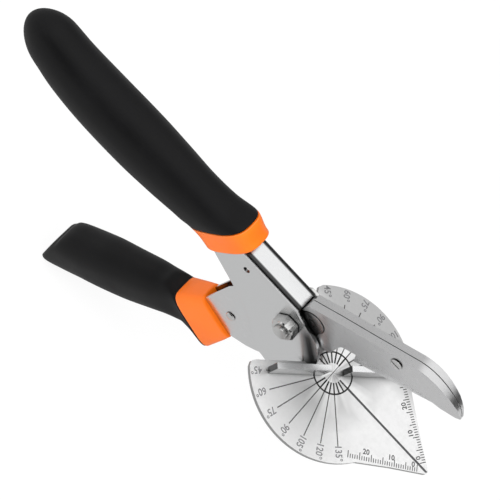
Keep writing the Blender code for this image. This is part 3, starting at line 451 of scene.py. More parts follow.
def moulded(name, colour, roughness):
    """Satin moulded plastic with a faint flow pattern, a fine spark texture and paler edges that stand for wear and
    a painted highlight.
    """
    f = Finish(name, 0.0)
    flow = f.noise(f.scaled(f.place, (60.0, 60.0, 140.0)), 1.0, 3.0, 0.5)
    spark = f.noise(f.place, 2600.0, 2.0, 0.6)
    edge, soft = f.edges(0.5 * MM)
    body = f.blend(f.stretch(flow, 0.35, 0.65), tone(colour, 0.93), tone(colour, 1.04))
    f.shader["IOR"].default_value = 1.48
    f.shader["Specular IOR Level"].default_value = 0.35
    return f.close(f.blend(f.times(edge, 0.35), body, tone(PALE_ORANGE)),
                   f.stretch(flow, 0.3, 0.7, roughness * 0.88, roughness * 1.12),
                   spark, 0.012 * MM, 0.25, soft)


def rubber(name, colour, roughness):
    """Matte rubber with a fine pebble, dusty patches and a soft sheen."""
    settings = sizes().finishes
    f = Finish(name, 0.0)
    pebbles = f.add("ShaderNodeTexVoronoi", {"Vector": f.place, "Scale": 1.0 / settings.pebble}, feature="SMOOTH_F1")
    dust = f.noise(f.place, 70.0, 4.0, 0.6)
    scuff = f.noise(f.scaled(f.place, (120.0, 900.0, 300.0)), 1.0, 3.0, 0.6)
    body = f.blend(f.stretch(dust, 0.35, 0.7), tone(colour, 0.85), tone(colour, 1.35))
    f.shader["Sheen Weight"].default_value = 0.02
    f.shader["Sheen Roughness"].default_value = 0.5
    f.shader["Specular IOR Level"].default_value = 0.22
    return f.close(f.blend(f.stretch(scuff, 0.55, 0.8, 0.0, 0.25), body, tone(colour, 2.4)),
                   f.stretch(dust, 0.3, 0.7, roughness * 0.9, roughness * 1.12),
                   pebbles.outputs["Distance"], settings.pebble_depth, 0.4)


def etched(name, colour):
    """Etched mark: nearly black or grey, slightly uneven, matte."""
    f = Finish(name, 0.0)
    uneven = f.noise(f.place, 1400.0, 3.0, 0.6)
    return f.close(f.blend(f.stretch(uneven, 0.3, 0.7), tone(colour, 0.8), tone(colour, 1.25)),
                   f.stretch(uneven, 0.3, 0.7, 0.55, 0.8), uneven, 0.01 * MM, 0.3)


# Each finish: how it is made, its colour or the setting that holds it, and the rest
ALONG = (300.0, 7000.0, 7000.0)
FINISHES = {
    "plated frame steel": (metal, "frame_colour", dict(
        roughness=0.22, grain=ALONG, blotch=0.04, side_shade_tone=0.92, bend=2.2 * MM)),
    "plated lever steel": (metal, "frame_colour", dict(
        roughness=0.25, grain=ALONG, blotch=0.04, side_shade_tone=0.92, reach=14.0, clear=0.85, pivot_shaded=True)),
    "satin bed steel": (bed_metal, "bed_colour", dict(roughness=0.36)),
    "brushed jaw steel": (metal, "jaw_colour", dict(
        roughness=0.29, grain=(240.0, 7000.0, 7000.0), depth=1.3, side_shade_tone=1.0, reach=11.0, clear=0.85)),
    "ground blade steel": (metal, "blade_colour", dict(roughness=0.20, grain=(7000.0, 7000.0, 300.0), depth=0.6)),
    "bright fence steel": (metal, "blade_colour", dict(
        roughness=0.22, grain=(500.0, 7000.0, 7000.0), depth=0.9, blotch=0.02, side_shade_tone=0.55, reach=2.0,
        end_way=FENCE_WAY)),
    "zinc plate": (metal, "zinc_colour", dict(
        roughness=0.24, grain=(6000.0, 6000.0, 6000.0), depth=0.5, blotch=0.06, reach=7.0)),
    "drawn spring wire": (metal, "spring_colour", dict(roughness=0.35, grain=(1500.0, 1500.0, 1500.0), depth=0.5)),
    "orange plastic": (moulded, "orange_colour", dict(roughness=0.42)),
    "black rubber": (rubber, "rubber_colour", dict(roughness=0.56)),
    "black etch": (etched, (0.012, 0.012, 0.012), {}),
    "grey etch": (etched, (0.055, 0.055, 0.055), {}),
    "pale etch": (etched, (0.15, 0.15, 0.155), {}),
    "slit grey": (etched, (0.075, 0.075, 0.078), {}),
}


def finish_of(name):
    """The material of that name, made when it is first asked for."""
    if name in bpy.data.materials:
        return bpy.data.materials[name]
    make, colour, options = FINISHES[name]
    if isinstance(colour, str):
        colour = getattr(sizes().finishes, colour)
    return make(name, colour, **options)


# Pieces

MERGE = 0.002 * MM

# Angles in degrees above which an edge stays crisp
CRISP_STEEL, CRISP_COLLAR, CRISP_GRIP, CRISP_NUT = 31.0, 40.0, 50.0, 20.0


def in_scene(name, data):
    """A new object whose data has the same name."""
    data.name = name
    thing = bpy.data.objects.new(name, data)
    bpy.context.scene.collection.objects.link(thing)
    return thing


def mesh_of(form):
    """Ends an edit and keeps its mesh."""
    mesh = bpy.data.meshes.new("form")
    form.to_mesh(mesh)
    form.free()
    return mesh


def bridge(form, rows, closed=True):
    """Faces between rows of corners."""
    for low, high in zip(rows, rows[1:]):
        for i in range(len(low) if closed else len(low) - 1):
            j = (i + 1) % len(low)
            form.faces.new((low[i], low[j], high[j], high[i]))


def add_piece(name, mesh, body, finish, smooth=True):
    """Puts a finished mesh in the scene on its body. The name, place and finish are final."""
    piece = in_scene(name, mesh)
    mesh.materials.clear()
    mesh.materials.append(finish_of(finish))
    for face in mesh.polygons:
        face.use_smooth = smooth
    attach(piece, body)
    return piece


def stand_in(node, name, mesh, crisp, body, finish):
    """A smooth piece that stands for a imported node. Edges sharper than the angle stay crisp."""
    form = bmesh.new()
    form.from_mesh(mesh)
    for edge in form.edges:
        edge.smooth = not edge.is_manifold or edge.calc_face_angle() < radians(crisp)
    form.to_mesh(mesh)
    form.free()
    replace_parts(add_piece(name, mesh, body, finish), node)


def dress_node(node, finish):
    """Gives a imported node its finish."""
    shape = frame["nodes"][node]
    material = finish_of(finish)
    if not shape.material_slots:
        shape.data.materials.append(material)
    for slot in shape.material_slots:
        slot.material = material


def merged_copy(node, finish):
    """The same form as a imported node, merged and shaded smooth over its curves."""
    shape = frame["nodes"][node]
    loose = bpy.data.meshes.new("loose")
    loose.from_pydata([v.co for v in shape.data.vertices], [], [f.vertices[:] for f in shape.data.polygons])
    form = bmesh.new()
    form.from_mesh(loose)
    bpy.data.meshes.remove(loose)
    bmesh.ops.remove_doubles(form, verts=form.verts, dist=MERGE)
    stand_in(node, f"{node}_dressed", mesh_of(form), CRISP_STEEL, shape["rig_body"], finish)


class Pattern(Nodes):
    """A geometry tree with named inputs that is grown once into a plain mesh."""

    def __init__(self, name, **kinds):
        super().__init__(bpy.data.node_groups.new(name, "GeometryNodeTree"))
        sockets = self.tree.interface
        sockets.new_socket("Geometry", in_out="OUTPUT", socket_type="NodeSocketGeometry")
        for kind, labels in {**kinds, "Material": ("Finish",)}.items():
            for label in labels:
                sockets.new_socket(label, in_out="INPUT", socket_type=f"NodeSocket{kind}")
        self.given = self.add("NodeGroupInput").outputs

    def maths(self, operation, first, second=0.0):
        return self.out("ShaderNodeMath", {0: first, 1: second}, operation=operation)

    def vector(self, x=0.0, y=0.0, z=0.0):
        return self.out("ShaderNodeCombineXYZ", {0: x, 1: y, 2: z})

    def moved(self, geometry, place, **turn):
        inputs = {"Geometry": geometry, "Translation": place, **turn}
        return self.out("GeometryNodeTransform", inputs)

    def bar(self, long, wide, place):
        """A bar with the given height at a place from the point that it is set on."""
        size = self.vector(long, wide, self.given["Height"])
        return self.moved(self.out("GeometryNodeMeshCube", {"Size": size}), place)

    def set_on(self, points, shape, **more):
        inputs = {"Points": points, "Instance": shape, **more}
        return self.out("GeometryNodeInstanceOnPoints", inputs)

    def swept(self, path, profile, **ends):
        return self.out("GeometryNodeCurveToMesh", {"Curve": path, "Profile Curve": profile, **ends})

    def close(self, geometry, place, **turn):
        """Real geometry in its place, with its material, goes to the output."""
        real = self.out("GeometryNodeRealizeInstances", {0: self.moved(geometry, place, **turn)})
        painted = self.out("GeometryNodeSetMaterial", {"Geometry": real, "Material": self.given["Finish"]})
        self.add("NodeGroupOutput", {0: painted})
        return self

    def grow(self, name, values, finish, slot="bed_steel", smooth=False):
        """Runs the tree once and keeps the result as a plain mesh on the frame."""
        seed = in_scene("seed", bpy.data.meshes.new("seed"))
        modifier = seed.modifiers.new(name, "NODES")
        modifier.node_group = self.tree
        values = {**values, "Finish": finish_of(finish)}
        for item in self.tree.interface.items_tree:
            if item.in_out == "INPUT" and item.name in values:
                modifier[item.identifier] = values[item.name]
        bpy.context.view_layer.update()
        grown = seed.evaluated_get(bpy.context.evaluated_depsgraph_get())
        mesh = bpy.data.meshes.new_from_object(grown)
        bpy.data.objects.remove(seed)
        if not mesh.polygons:
            raise RuntimeError(f"the pattern {name} came out empty")
        add_piece(name, mesh, "frame", finish, smooth)


# Every how many lines a ruler's line is longer, and points round the ring, a thread's turn and its ridge
LONG_EVERY = 5.0
RING_POINTS, THREAD_POINTS, RIDGE_POINTS = 96, 28, 4


def ruler_pattern():
    """A row of lines, every fifth one longer."""
    p = Pattern("ruler lines", Vector=("Start",), Int=("Count",),
                Float=("Angle", "Pitch", "Short", "Long", "Width", "Height"))
    given = p.given
    row = p.out("GeometryNodeMeshLine", {"Count": given["Count"], "Offset": p.vector(given["Pitch"])})
    rest = p.maths("MODULO", p.out("GeometryNodeInputIndex"), LONG_EVERY)
    extra = p.maths("SUBTRACT", given["Long"], given["Short"])
    extra = p.maths("MULTIPLY", p.maths("LESS_THAN", rest, 0.5), extra)
    long = p.maths("ADD", given["Short"], extra)
    bar = p.bar(given["Width"], 1.0, p.vector(0.0, 0.5))
    lines = p.set_on(row, bar, Scale=p.vector(1.0, long, 1.0))
    return p.close(lines, given["Start"], Rotation=p.vector(0.0, 0.0, given["Angle"]))


def fan_pattern():
    """Lines that fan out from a centre at even angles."""
    p = Pattern("fan of lines", Vector=("Centre",), Int=("Count",),
                Float=("First Angle", "Step", "Inner", "Outer", "Width", "Height"))
    given = p.given
    points = p.out("GeometryNodeMeshLine", {"Count": given["Count"], "Offset": p.vector()})
    reach = p.maths("SUBTRACT", given["Outer"], given["Inner"])
    middle = p.maths("MULTIPLY", p.maths("ADD", given["Outer"], given["Inner"]), 0.5)
    turned = p.maths("MULTIPLY", p.out("GeometryNodeInputIndex"), given["Step"])
    angle = p.maths("ADD", given["First Angle"], turned)
    bar = p.bar(reach, given["Width"], p.vector(middle))
    return p.close(p.set_on(points, bar, Rotation=p.vector(0.0, 0.0, angle)), given["Centre"])


def ring_pattern():
    """A flat ring."""
    p = Pattern("flat ring", Vector=("Centre",), Float=("Radius", "Width", "Height"))
    given = p.given
    path = p.out("GeometryNodeCurvePrimitiveCircle", {"Resolution": RING_POINTS, "Radius": given["Radius"]})
    flat = p.out("GeometryNodeCurvePrimitiveQuadrilateral", {"Width": given["Width"], "Height": given["Height"]})
    return p.close(p.swept(path, flat), given["Centre"])


def thread_pattern():
    """A ridge that winds round a bolt along Y."""
    p = Pattern("bolt thread", Vector=("Centre",), Float=("Radius", "Pitch", "Turns", "Ridge"))
    given = p.given
    inputs = {"Resolution": THREAD_POINTS, "Rotations": given["Turns"], "Start Radius": given["Radius"],
              "End Radius": given["Radius"], "Height": p.maths("MULTIPLY", given["Turns"], given["Pitch"])}
    path = p.out("GeometryNodeCurveSpiral", inputs)
    ridge = p.out("GeometryNodeCurvePrimitiveCircle", {"Resolution": RIDGE_POINTS, "Radius": given["Ridge"]})
    swept = p.swept(path, ridge, **{"Fill Caps": True})
    return p.close(swept, given["Centre"], Rotation=p.vector(radians(90.0)))


# Handles

# Lengths of the two handles
UPPER_LONG = 175.5 * MM
UPPER_AXIS = 18.0 * MM
UPPER_HALF_WIDE = 11.3 * MM
UPPER_HALF_HIGH = 12.7 * MM
UPPER_FRONT = 63.2 * MM
UPPER_BORDER = 72.5 * MM
UPPER_SLANTS = (0.52, 0.62)
LOWER_BACK = 81.0 * MM
LOWER_DROP = 111.0 * MM
LOWER_HALF_WIDE = 10.6 * MM
LOWER_HALF_HIGH = 13.2 * MM

# Upper handle: share of the length, lift, width, height and squareness
UPPER_SHARES = (
    (0.30, -0.08, 0.73, 0.94, 3.0), (0.36, -0.06, 0.735, 0.94, 3.0), (0.413, 0.16, 0.79, 1.0, 3.0),
    (0.455, -0.02, 0.83, 0.90, 2.6), (0.50, -0.10, 0.87, 0.89, 2.3), (0.56, -0.16, 0.94, 0.95, 2.2),
    (0.65, -0.22, 1.00, 1.00, 2.2), (0.77, -0.26, 0.99, 0.985, 2.2), (0.86, -0.19, 0.93, 0.93, 2.2),
    (0.925, 0.0, 0.86, 0.86, 2.2), (1.00, 0.10, 0.76, 0.76, 2.2),
)

# The frame's collar and grip: sections, waist, where the slant ends and the rounded end starts
COLLAR_STEPS, COLLAR_WAIST = 8, 0.35
UPPER_RUNS, SLANT_END, SLANT_FADE = 14, 0.42, 10.0
DOME_START, DOME_FILL, DOME_STEPS, DOME_TURN = 0.92, 0.965, 16, 88.0

# Sections of a lip, and the rows of the lower collar that its lip takes the place of
LIP_STEPS, LIP_ROWS = 5, 2

# Shares of the lower handle's lengths: back, drop, lean, height, width and squareness
MOUTH_SHARES = (0.195, 0.386, 0.235, 0.83, 0.55, 5.0)
BORDER_SHARES = (0.250, 0.523, 0.256, 1.07, 0.72, 5.0)
LOWER_SHARES = (
    (0.308, 0.532, 0.29, 0.97, 0.67, 4.0), (0.357, 0.538, 0.35, 0.82, 0.66, 3.5),
    (0.386, 0.553, 0.41, 0.80, 0.68, 3.2), (0.431, 0.583, 0.48, 0.77, 0.74, 3.0),
    (0.497, 0.630, 0.54, 0.82, 0.83, 2.7), (0.599, 0.707, 0.55, 0.88, 0.90, 2.6),
    (0.701, 0.776, 0.54, 0.89, 0.95, 2.6), (0.783, 0.834, 0.51, 0.86, 0.96, 2.6),
    (0.850, 0.882, 0.50, 0.85, 0.94, 2.6), (0.925, 0.940, 0.70, 0.84, 0.90, 2.8),
    (0.975, 0.984, 0.92, 0.86, 0.85, 3.0), (0.996, 0.995, 0.98, 0.82, 0.76, 3.0),
    (1.0, 0.996, 0.98, 0.73, 0.66, 3.0),
)


def section(centre, up, half_wide, half_high, square, lean=0.0):
    """A rounded section across Y."""
    sides = sizes().grips.sides
    ring = []
    for i in range(sides):
        a = 2.0 * pi * i / sides
        c, s = cos(a), sin(a)
        wide = half_wide * copysign(abs(c) ** (2.0 / square), c)
        high = half_high * copysign(abs(s) ** (2.0 / square), s)
        ring.append(centre + up * high + Vector((lean * high, wide, 0.0)))
    return ring


def loft(rings):
    """A closed mesh through sections with the same number of points."""
    form = bmesh.new()
    loops = [[form.verts.new(point) for point in ring] for ring in rings]
    bridge(form, loops)
    for loop in (loops[0], loops[-1]):
        middle = form.verts.new(sum((v.co for v in loop), Vector()) / len(loop))
        for i, point in enumerate(loop):
            form.faces.new((point, loop[(i + 1) % len(loop)], middle))
    bmesh.ops.recalc_face_normals(form, faces=form.faces)
    return mesh_of(form)


def upper_station(share):
    """Lift, width, height and squareness at a share of the length, on a smooth curve."""
    rows = UPPER_SHARES
    last = len(rows) - 1
    k = next((i for i in range(last) if share <= rows[i + 1][0]), last - 1)
    slopes = []
    for i in (k, k + 1):
        low, high = rows[max(0, i - 1)], rows[min(last, i + 1)]
        slopes.append([(q - p) / (high[0] - low[0]) for p, q in zip(low[1:], high[1:])])
    span = rows[k + 1][0] - rows[k][0]
    t = (share - rows[k][0]) / span
    rise = t * t * (3.0 - 2.0 * t)
    return [p + (q - p) * rise + span * (m * t * (1.0 - t) ** 2 - n * t * t * (1.0 - t))
            for p, q, m, n in zip(rows[k][1:], rows[k + 1][1:], *slopes)]


def upper_ring(place, slant, shrink=0.0, size=1.0):
    """One section of the frame's handle, a distance behind the ring's centre."""
    lift, wide, high, square = upper_station(place / UPPER_LONG)
    centre = RING + Vector((-place, 0.0, UPPER_AXIS + lift * UPPER_HALF_HIGH))
    return section(centre, Vector((0.0, 0.0, 1.0)), wide * UPPER_HALF_WIDE * size - shrink,
                   high * UPPER_HALF_HIGH * size - shrink, square, slant)


def lower_ring(row, shrink=0.0, shift=0.0):
    """One section of the lever's handle from a row of shares."""
    back, drop, lean, high, wide, square = row
    angle = radians(90.0) * lean
    up = Vector((-cos(angle), 0.0, sin(angle)))
    way = Vector((-sin(angle), 0.0, -cos(angle)))
    centre = Vector((PIVOT.x - back * LOWER_BACK, 0.0, PIVOT.z - drop * LOWER_DROP)) + way * shift
    return section(centre, up, wide * LOWER_HALF_WIDE - shrink, high * LOWER_HALF_HIGH - shrink, square)


def smooth_rows(rows, steps):
    """Rows between the given ones, on a smooth curve through them."""
    last = len(rows) - 1
    out = []
    for k in range(last):
        p, q, r, s = rows[max(0, k - 1)], rows[k], rows[k + 1], rows[min(last, k + 2)]
        for step in range(steps):
            t = step / steps
            out.append(tuple(0.5 * (2 * b + (c - a) * t + (2 * a - 5 * b + 4 * c - d) * t**2
                                    + (3 * b - a - 3 * c + d) * t**3) for a, b, c, d in zip(p, q, r, s)))
    out.append(rows[-1])
    return out


def rolled(lip):
    """Shift and shrink of the sections round a lip."""
    turns = [radians(90.0) * i / LIP_STEPS for i in range(LIP_STEPS + 1)]
    return [(lip * (1.0 - cos(turn)), lip * (1.0 - sin(turn))) for turn in turns]


def handle_pieces(body, collar, grip):
    """Collar and grip of one handle, through their sections."""
    stand_in(f"{body}_handle_core", f"{body}_collar", loft(collar), CRISP_COLLAR, body, "orange plastic")
    stand_in(f"{body}_grip", f"{body}_grip_skin", loft(grip), CRISP_GRIP, body, "black rubber")


class BuildFrameHandle(Operator):
    """Collar and soft grip of the frame"""

    bl_idname = "mitre_shears.frame_handle"
    bl_label = "Build frame handle"

    def execute(self, context):
        g = sizes().grips
        front_slant, border_slant = UPPER_SLANTS
        collar = [upper_ring(UPPER_FRONT + shift, front_slant, shrink) for shift, shrink in rolled(g.lip)]
        span = UPPER_BORDER - UPPER_FRONT - g.lip
        for i in range(1, COLLAR_STEPS + 1):
            t = i / COLLAR_STEPS
            slant = front_slant + (border_slant - front_slant) * t
            waist = g.lip * COLLAR_WAIST * sin(pi * t)
            collar.append(upper_ring(UPPER_FRONT + g.lip + span * t, slant, waist))
        start = UPPER_BORDER + g.border_gap
        grip = [upper_ring(start + shift, border_slant, shrink) for shift, shrink in rolled(g.lip)]
        end = UPPER_LONG * DOME_START
        count = g.steps * UPPER_RUNS
        for i in range(1, count + 1):
            place = start + g.lip + (end - start - g.lip) * i / count
            fade = min(1.0, max(0.0, 1.0 - (place / UPPER_LONG - SLANT_END) * SLANT_FADE))
            grip.append(upper_ring(place, border_slant * fade * fade * (3.0 - 2.0 * fade)))
        depth = (UPPER_LONG - end) * DOME_FILL
        for i in range(1, DOME_STEPS + 1):
            t = sin(radians(DOME_TURN) * i / DOME_STEPS)
            grip.append(upper_ring(end + depth * t, 0.0, size=sqrt(1.0 - t * t)))
        handle_pieces("frame", collar, grip)
        return {"FINISHED"}


class BuildLeverHandle(Operator):
    """Collar and soft grip of the lever"""

    bl_idname = "mitre_shears.lever_handle"
    bl_label = "Build lever handle"

    def execute(self, context):
        g = sizes().grips
        collar = [lower_ring(MOUTH_SHARES, shrink, shift) for shift, shrink in rolled(g.lip)]
        collar += [lower_ring(row) for row in smooth_rows((MOUTH_SHARES, BORDER_SHARES), g.steps)[LIP_ROWS:]]
        grip = [lower_ring(BORDER_SHARES, shrink, g.border_gap + shift) for shift, shrink in rolled(g.lip)]
        grip += [lower_ring(row) for row in smooth_rows(LOWER_SHARES, g.steps)]
        handle_pieces("lever", collar, grip)
        return {"FINISHED"}


# Bed marks

FINE_MERGE = 0.001 * MM

# Width of the angle numbers, and the share of the slit's depth that its floor fills; that dark floor is a painted
# shadow
NARROW, SLIT_FILL = 0.84, 0.8

# Spokes of each side: angle of the first in degrees and count
SPOKES = (("near", -105.0, 8), ("far", 90.0, 7))

# Rulers on the bed's edges: side, its sign on Y, first line and last line
RULERS = (("near", -1.0, Vector((25.55 * MM, -20.1 * MM, 0.0)), Vector((50.1 * MM, -2.85 * MM, 0.0))),
          ("far", 1.0, Vector((50.5 * MM, 2.95 * MM, 0.0)), Vector((25.4 * MM, 19.4 * MM, 0.0))))

# Ruler numbers: value, place along the bed and out from its middle line
NUMBER_PLACES = ((0, 47.2 * MM, 1.8 * MM), (10, 38.8 * MM, 6.7 * MM), (20, 29.8 * MM, 12.9 * MM))


def bed_level():
    return RING + Vector((0.0, 0.0, sizes().marks.raise_by / 2.0))


def words(text, size, place, reading, width=1.0):
    """A number as a thin mesh, centred on a place, that reads along a direction."""
    m = sizes().marks
    curve = bpy.data.curves.new("number", "FONT")
    curve.body = text
    curve.size = size
    curve.align_x = "CENTER"
    curve.align_y = "CENTER"
    curve.extrude = m.raise_by / 2.0
    curve.offset = m.bold
    curve.resolution_u = 3
    carrier = in_scene("number", curve)
    bpy.context.view_layer.update()
    mesh = bpy.data.meshes.new_from_object(carrier.evaluated_get(bpy.context.evaluated_depsgraph_get()))
    bpy.data.objects.remove(carrier)
    turn = Matrix.Rotation(atan2(reading.y, reading.x), 4, "Z")
    mesh.transform(Matrix.Translation(place) @ turn @ Matrix.Diagonal((width, 1.0, 1.0, 1.0)))
    return mesh


def number_piece(name, meshes, finish):
    """Several numbers as one piece on the bed."""
    form = bmesh.new()
    for mesh in meshes:
        form.from_mesh(mesh)
        bpy.data.meshes.remove(mesh)
    bmesh.ops.remove_doubles(form, verts=form.verts, dist=FINE_MERGE)
    add_piece(name, mesh_of(form), "frame", finish, smooth=False)


class BuildAngleMarks(Operator):
    """Black ring, spokes and angle lines on the bed"""

    bl_idname = "mitre_shears.angle_marks"
    bl_label = "Build angle marks"

    def execute(self, context):
        m = sizes().marks
        base = {"Centre": bed_level(), "Height": m.raise_by}
        ring_pattern().grow("mark_ring", {**base, "Radius": m.ring_radius, "Width": m.ring_line}, "black etch")
        fan = fan_pattern()
        last = m.first_angle + m.angle_step * (m.angle_count - 1)
        lines = {**base, "Step": m.angle_step, "Count": m.angle_count, "Inner": m.ring_radius,
                 "Outer": m.line_end, "Width": m.line_width}
        for side, first in (("near", -pi + m.first_angle), ("far", pi - last)):
            fan.grow(f"mark_lines_{side}", {**lines, "First Angle": first}, "grey etch")
        spokes = {**base, "Step": m.angle_step, "Inner": m.spoke_start, "Outer": m.ring_radius,
                  "Width": m.spoke_line}
        for side, first, count in SPOKES:
            fan.grow(f"mark_spokes_{side}", {**spokes, "First Angle": radians(first), "Count": count},
                     "black etch")
        # A dark strip at the slit's floor paints the shadow inside the slit.
        slit = {"Centre": RING + Vector((0.0, 0.0, -m.slit_depth)), "Step": 0.0, "Count": 1, "First Angle": 0.0,
                "Inner": m.ring_radius, "Outer": m.slit_end, "Width": m.slit_width,
                "Height": m.slit_depth * SLIT_FILL}
        fan.grow("slit_floor", slit, "slit grey")
        hub = {**base, "Step": pi, "Count": 2, "First Angle": radians(90.0), "Inner": 0.0,
               "Outer": m.ring_radius, "Width": m.hub_line}
        fan.grow("mark_hub_line", hub, "black etch")
        return {"FINISHED"}


class BuildRulers(Operator):
    """Rulers along both edges of the bed's tip"""

    bl_idname = "mitre_shears.rulers"
    bl_label = "Build rulers"

    def execute(self, context):
        m = sizes().marks
        lift = Vector((RING.x, 0.0, bed_level().z))
        pattern = ruler_pattern()
        for side, _, start, stop in RULERS:
            way = stop - start
            values = {"Start": lift + start, "Angle": atan2(way.y, way.x), "Count": m.ruler_count,
                      "Pitch": way.length / (m.ruler_count - 1), "Short": m.short_line, "Long": m.long_line,
                      "Width": m.ruler_line, "Height": m.raise_by}
            pattern.grow(f"ruler_{side}", values, "grey etch")
        return {"FINISHED"}


class BuildNumbers(Operator):
    """Plain numbers for the angles and the rulers"""

    bl_idname = "mitre_shears.numbers"
    bl_label = "Build numbers"

    def execute(self, context):
        m = sizes().marks
        level = bed_level()
        for side, sign, start, stop in RULERS:
            numbers = []
            for i in range(m.angle_count):
                angle = m.first_angle + m.angle_step * i
                way = Vector((-cos(angle), sign * sin(angle), 0.0))
                place = level + way * (m.label_radius - m.label_step * i)
                text = f"{round(degrees(angle))}°"
                numbers.append(words(text, m.label_size, place, way * -sign, NARROW))
            number_piece(f"angle_numbers_{side}", numbers, "pale etch")
            numbers = [words(str(value), m.number_size, level + Vector((back, out * sign, 0.0)), stop - start)
                       for value, back, out in NUMBER_PLACES]
            number_piece(f"ruler_numbers_{side}", numbers, "grey etch")
        return {"FINISHED"}


# Fasteners

# Points round the nut, and the share of its chamfer that the outer face stands in
HEX_POINTS, FACE_INSET = 96, 0.2


def hexagon_bar(centre, y_low, y_high, across, chamfer):
    """A hexagonal bar along Y whose corners are turned down at its lower end."""
    corner = across / sqrt(3.0)
    form = bmesh.new()
    loops = []
    for y, limit in ((y_low, across / 2.0 - chamfer * FACE_INSET), (y_low + chamfer, corner), (y_high, corner)):
        loop = []
        for i in range(HEX_POINTS):
            a = 2.0 * pi * i / HEX_POINTS
            local = (a + radians(30.0)) % radians(60.0) - radians(30.0)
            radius = min(across / 2.0 / cos(local), limit)
            loop.append(form.verts.new((centre.x + radius * sin(a), y, centre.z + radius * cos(a))))
        loops.append(loop)
    bridge(form, loops)
    form.faces.new(loops[0])
    form.faces.new(loops[-1])
    bmesh.ops.recalc_face_normals(form, faces=form.faces)
    return mesh_of(form)


class BuildPivotDetails(Operator):
    """Chamfered pivot nut and the thread that stands out of it"""

    bl_idname = "mitre_shears.pivot_details"
    bl_label = "Build pivot details"

    def execute(self, context):
        f = sizes().fasteners
        low = NUT_LOW.y + f.nut_drop
        mesh = hexagon_bar(PIVOT, low, NUT_HIGH.y, f.hex_across, f.chamfer)
        stand_in("pivot_nut", "chamfered_nut", mesh, CRISP_NUT, "frame", "zinc plate")
        values = {"Centre": Vector((PIVOT.x, low, PIVOT.z)), "Radius": f.thread_radius, "Pitch": f.thread_pitch,
                  "Turns": (low - BOLT_LOW.y - f.thread_depth) / f.thread_pitch, "Ridge": f.thread_depth}
        thread_pattern().grow("bolt_thread", values, "zinc plate", "zinc", smooth=True)
        return {"FINISHED"}


# Finish of each imported node, and a slot name, which only tells whether a merged copy stands for it
NODE_FINISHES = {
    "frame_channel": ("plated frame steel", "frame_steel"),
    "lever_channel": ("plated lever steel", "lever_steel"),
    "bed_plate": ("satin bed steel", "bed_steel"),
    "near_fence": ("bright fence steel", "fence_steel"),
    "far_fence": ("bright fence steel", "fence_steel"),
    "pivot_bolt": ("zinc plate", "zinc"),
    "pivot_nut": ("zinc plate", None),
    "pivot_bush": ("zinc plate", "zinc"),
    "frame_spring_arm": ("drawn spring wire", "spring_steel"),
    "lever_spring_arm": ("drawn spring wire", "spring_steel"),
    "near_jaw_plate": ("brushed jaw steel", "jaw_steel"),
    "far_jaw_plate": ("brushed jaw steel", "jaw_steel"),
    "blade": ("ground blade steel", "blade_steel"),
    "blade_screw": ("zinc plate", "zinc"),
    "jaw_rivet": ("plated lever steel", "zinc"),
    "hook_rivet": ("zinc plate", "zinc"),
    "lock_hook": ("orange plastic", "orange_plastic"),
    "frame_handle_core": ("orange plastic", None),
    "lever_handle_core": ("orange plastic", None),
    "frame_grip": ("black rubber", None),
    "lever_grip": ("black rubber", None),
}


class DressNodes(Operator):
    """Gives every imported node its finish"""

    bl_idname = "mitre_shears.dress_nodes"
    bl_label = "Dress packed nodes"

    def execute(self, context):
        missing = sorted(set(frame["nodes"]) - set(NODE_FINISHES))
        if missing:
            raise RuntimeError(f"these nodes have no finish: {missing}")
        for node, (finish, slot) in NODE_FINISHES.items():
            dress_node(node, finish)
            if slot:
                merged_copy(node, finish)
        return {"FINISHED"}


# Studio

CAMERA_PLACE = Vector((-70.716, -281.007, 498.021)) * MM
CAMERA_RIGHT = Vector((0.68047349, 0.60684631, 0.410723))
CAMERA_UP = Vector((-0.72700961, 0.62926141, 0.27474916))
CAMERA_BACK = Vector((-0.09172162, -0.48555909, 0.86937881))
SENSOR_WIDTH = 36.0
NEAR_CLIP, FAR_CLIP = 10.0 * MM, 20000.0 * MM

# Parts of a dome round the set: radius, limits of turn and rise in degrees, shade
CARDS = {
    "studio_card_dark": (900.0 * MM, (-150.0, -30.0), (10.0, 62.0), 0.02),
    "studio_card_far": (900.0 * MM, (-30.0, 118.0), (4.0, 38.0), 0.03),
    "studio_card_left": (950.0 * MM, (118.0, 210.0), (-6.0, 48.0), 0.52),
}
CARD_STEPS = 24

# Lamps: place and the setting that holds the power
LAMPS = {
    "key_lamp": (Vector((-250.0, -150.0, 700.0)) * MM, "key_power"),
    "fill_lamp": (Vector((500.0, -500.0, 450.0)) * MM, "fill_power"),
}
LAMP_SIZE = 900.0 * MM
LAMP_TARGET = Vector((0.0, 0.0, -30.0 * MM))

WHITE = (1.0, 1.0, 1.0, 1.0)
FLOOR_WHITE = (0.9, 0.9, 0.9, 1.0)


def bare_nodes(holder):
    """The emptied tree of a material or a world."""
    holder.use_nodes = True
    holder.node_tree.nodes.clear()
    return Nodes(holder.node_tree)


def seen_share(nodes):
    """1 for camera, glossy and transmission rays."""
    path = nodes.add("ShaderNodeLightPath").outputs
    seen = nodes.share("ADD", path["Is Camera Ray"], path["Is Glossy Ray"])
    return nodes.share("ADD", seen, path["Is Transmission Ray"])


def plane(name, size, height):
    form = bmesh.new()
    bmesh.ops.create_grid(form, x_segments=1, y_segments=1, size=size / 2.0)
    mesh = mesh_of(form)
    mesh.transform(Matrix.Translation((0.0, 0.0, height)))
    return in_scene(name, mesh)


def floor_material(share):
    """White to the camera, with the soft shadow of what stands on it."""
    material = bpy.data.materials.new("studio floor")
    nodes = bare_nodes(material)
    matte = nodes.out("ShaderNodeBsdfDiffuse", {"Color": FLOOR_WHITE})
    glow = nodes.out("ShaderNodeEmission", {"Color": WHITE, "Strength": 1.0})
    seen = nodes.times(seen_share(nodes), share)
    mixed = nodes.out("ShaderNodeMixShader", {0: seen, 1: matte, 2: glow})
    nodes.add("ShaderNodeOutputMaterial", {"Surface": mixed})
    return material


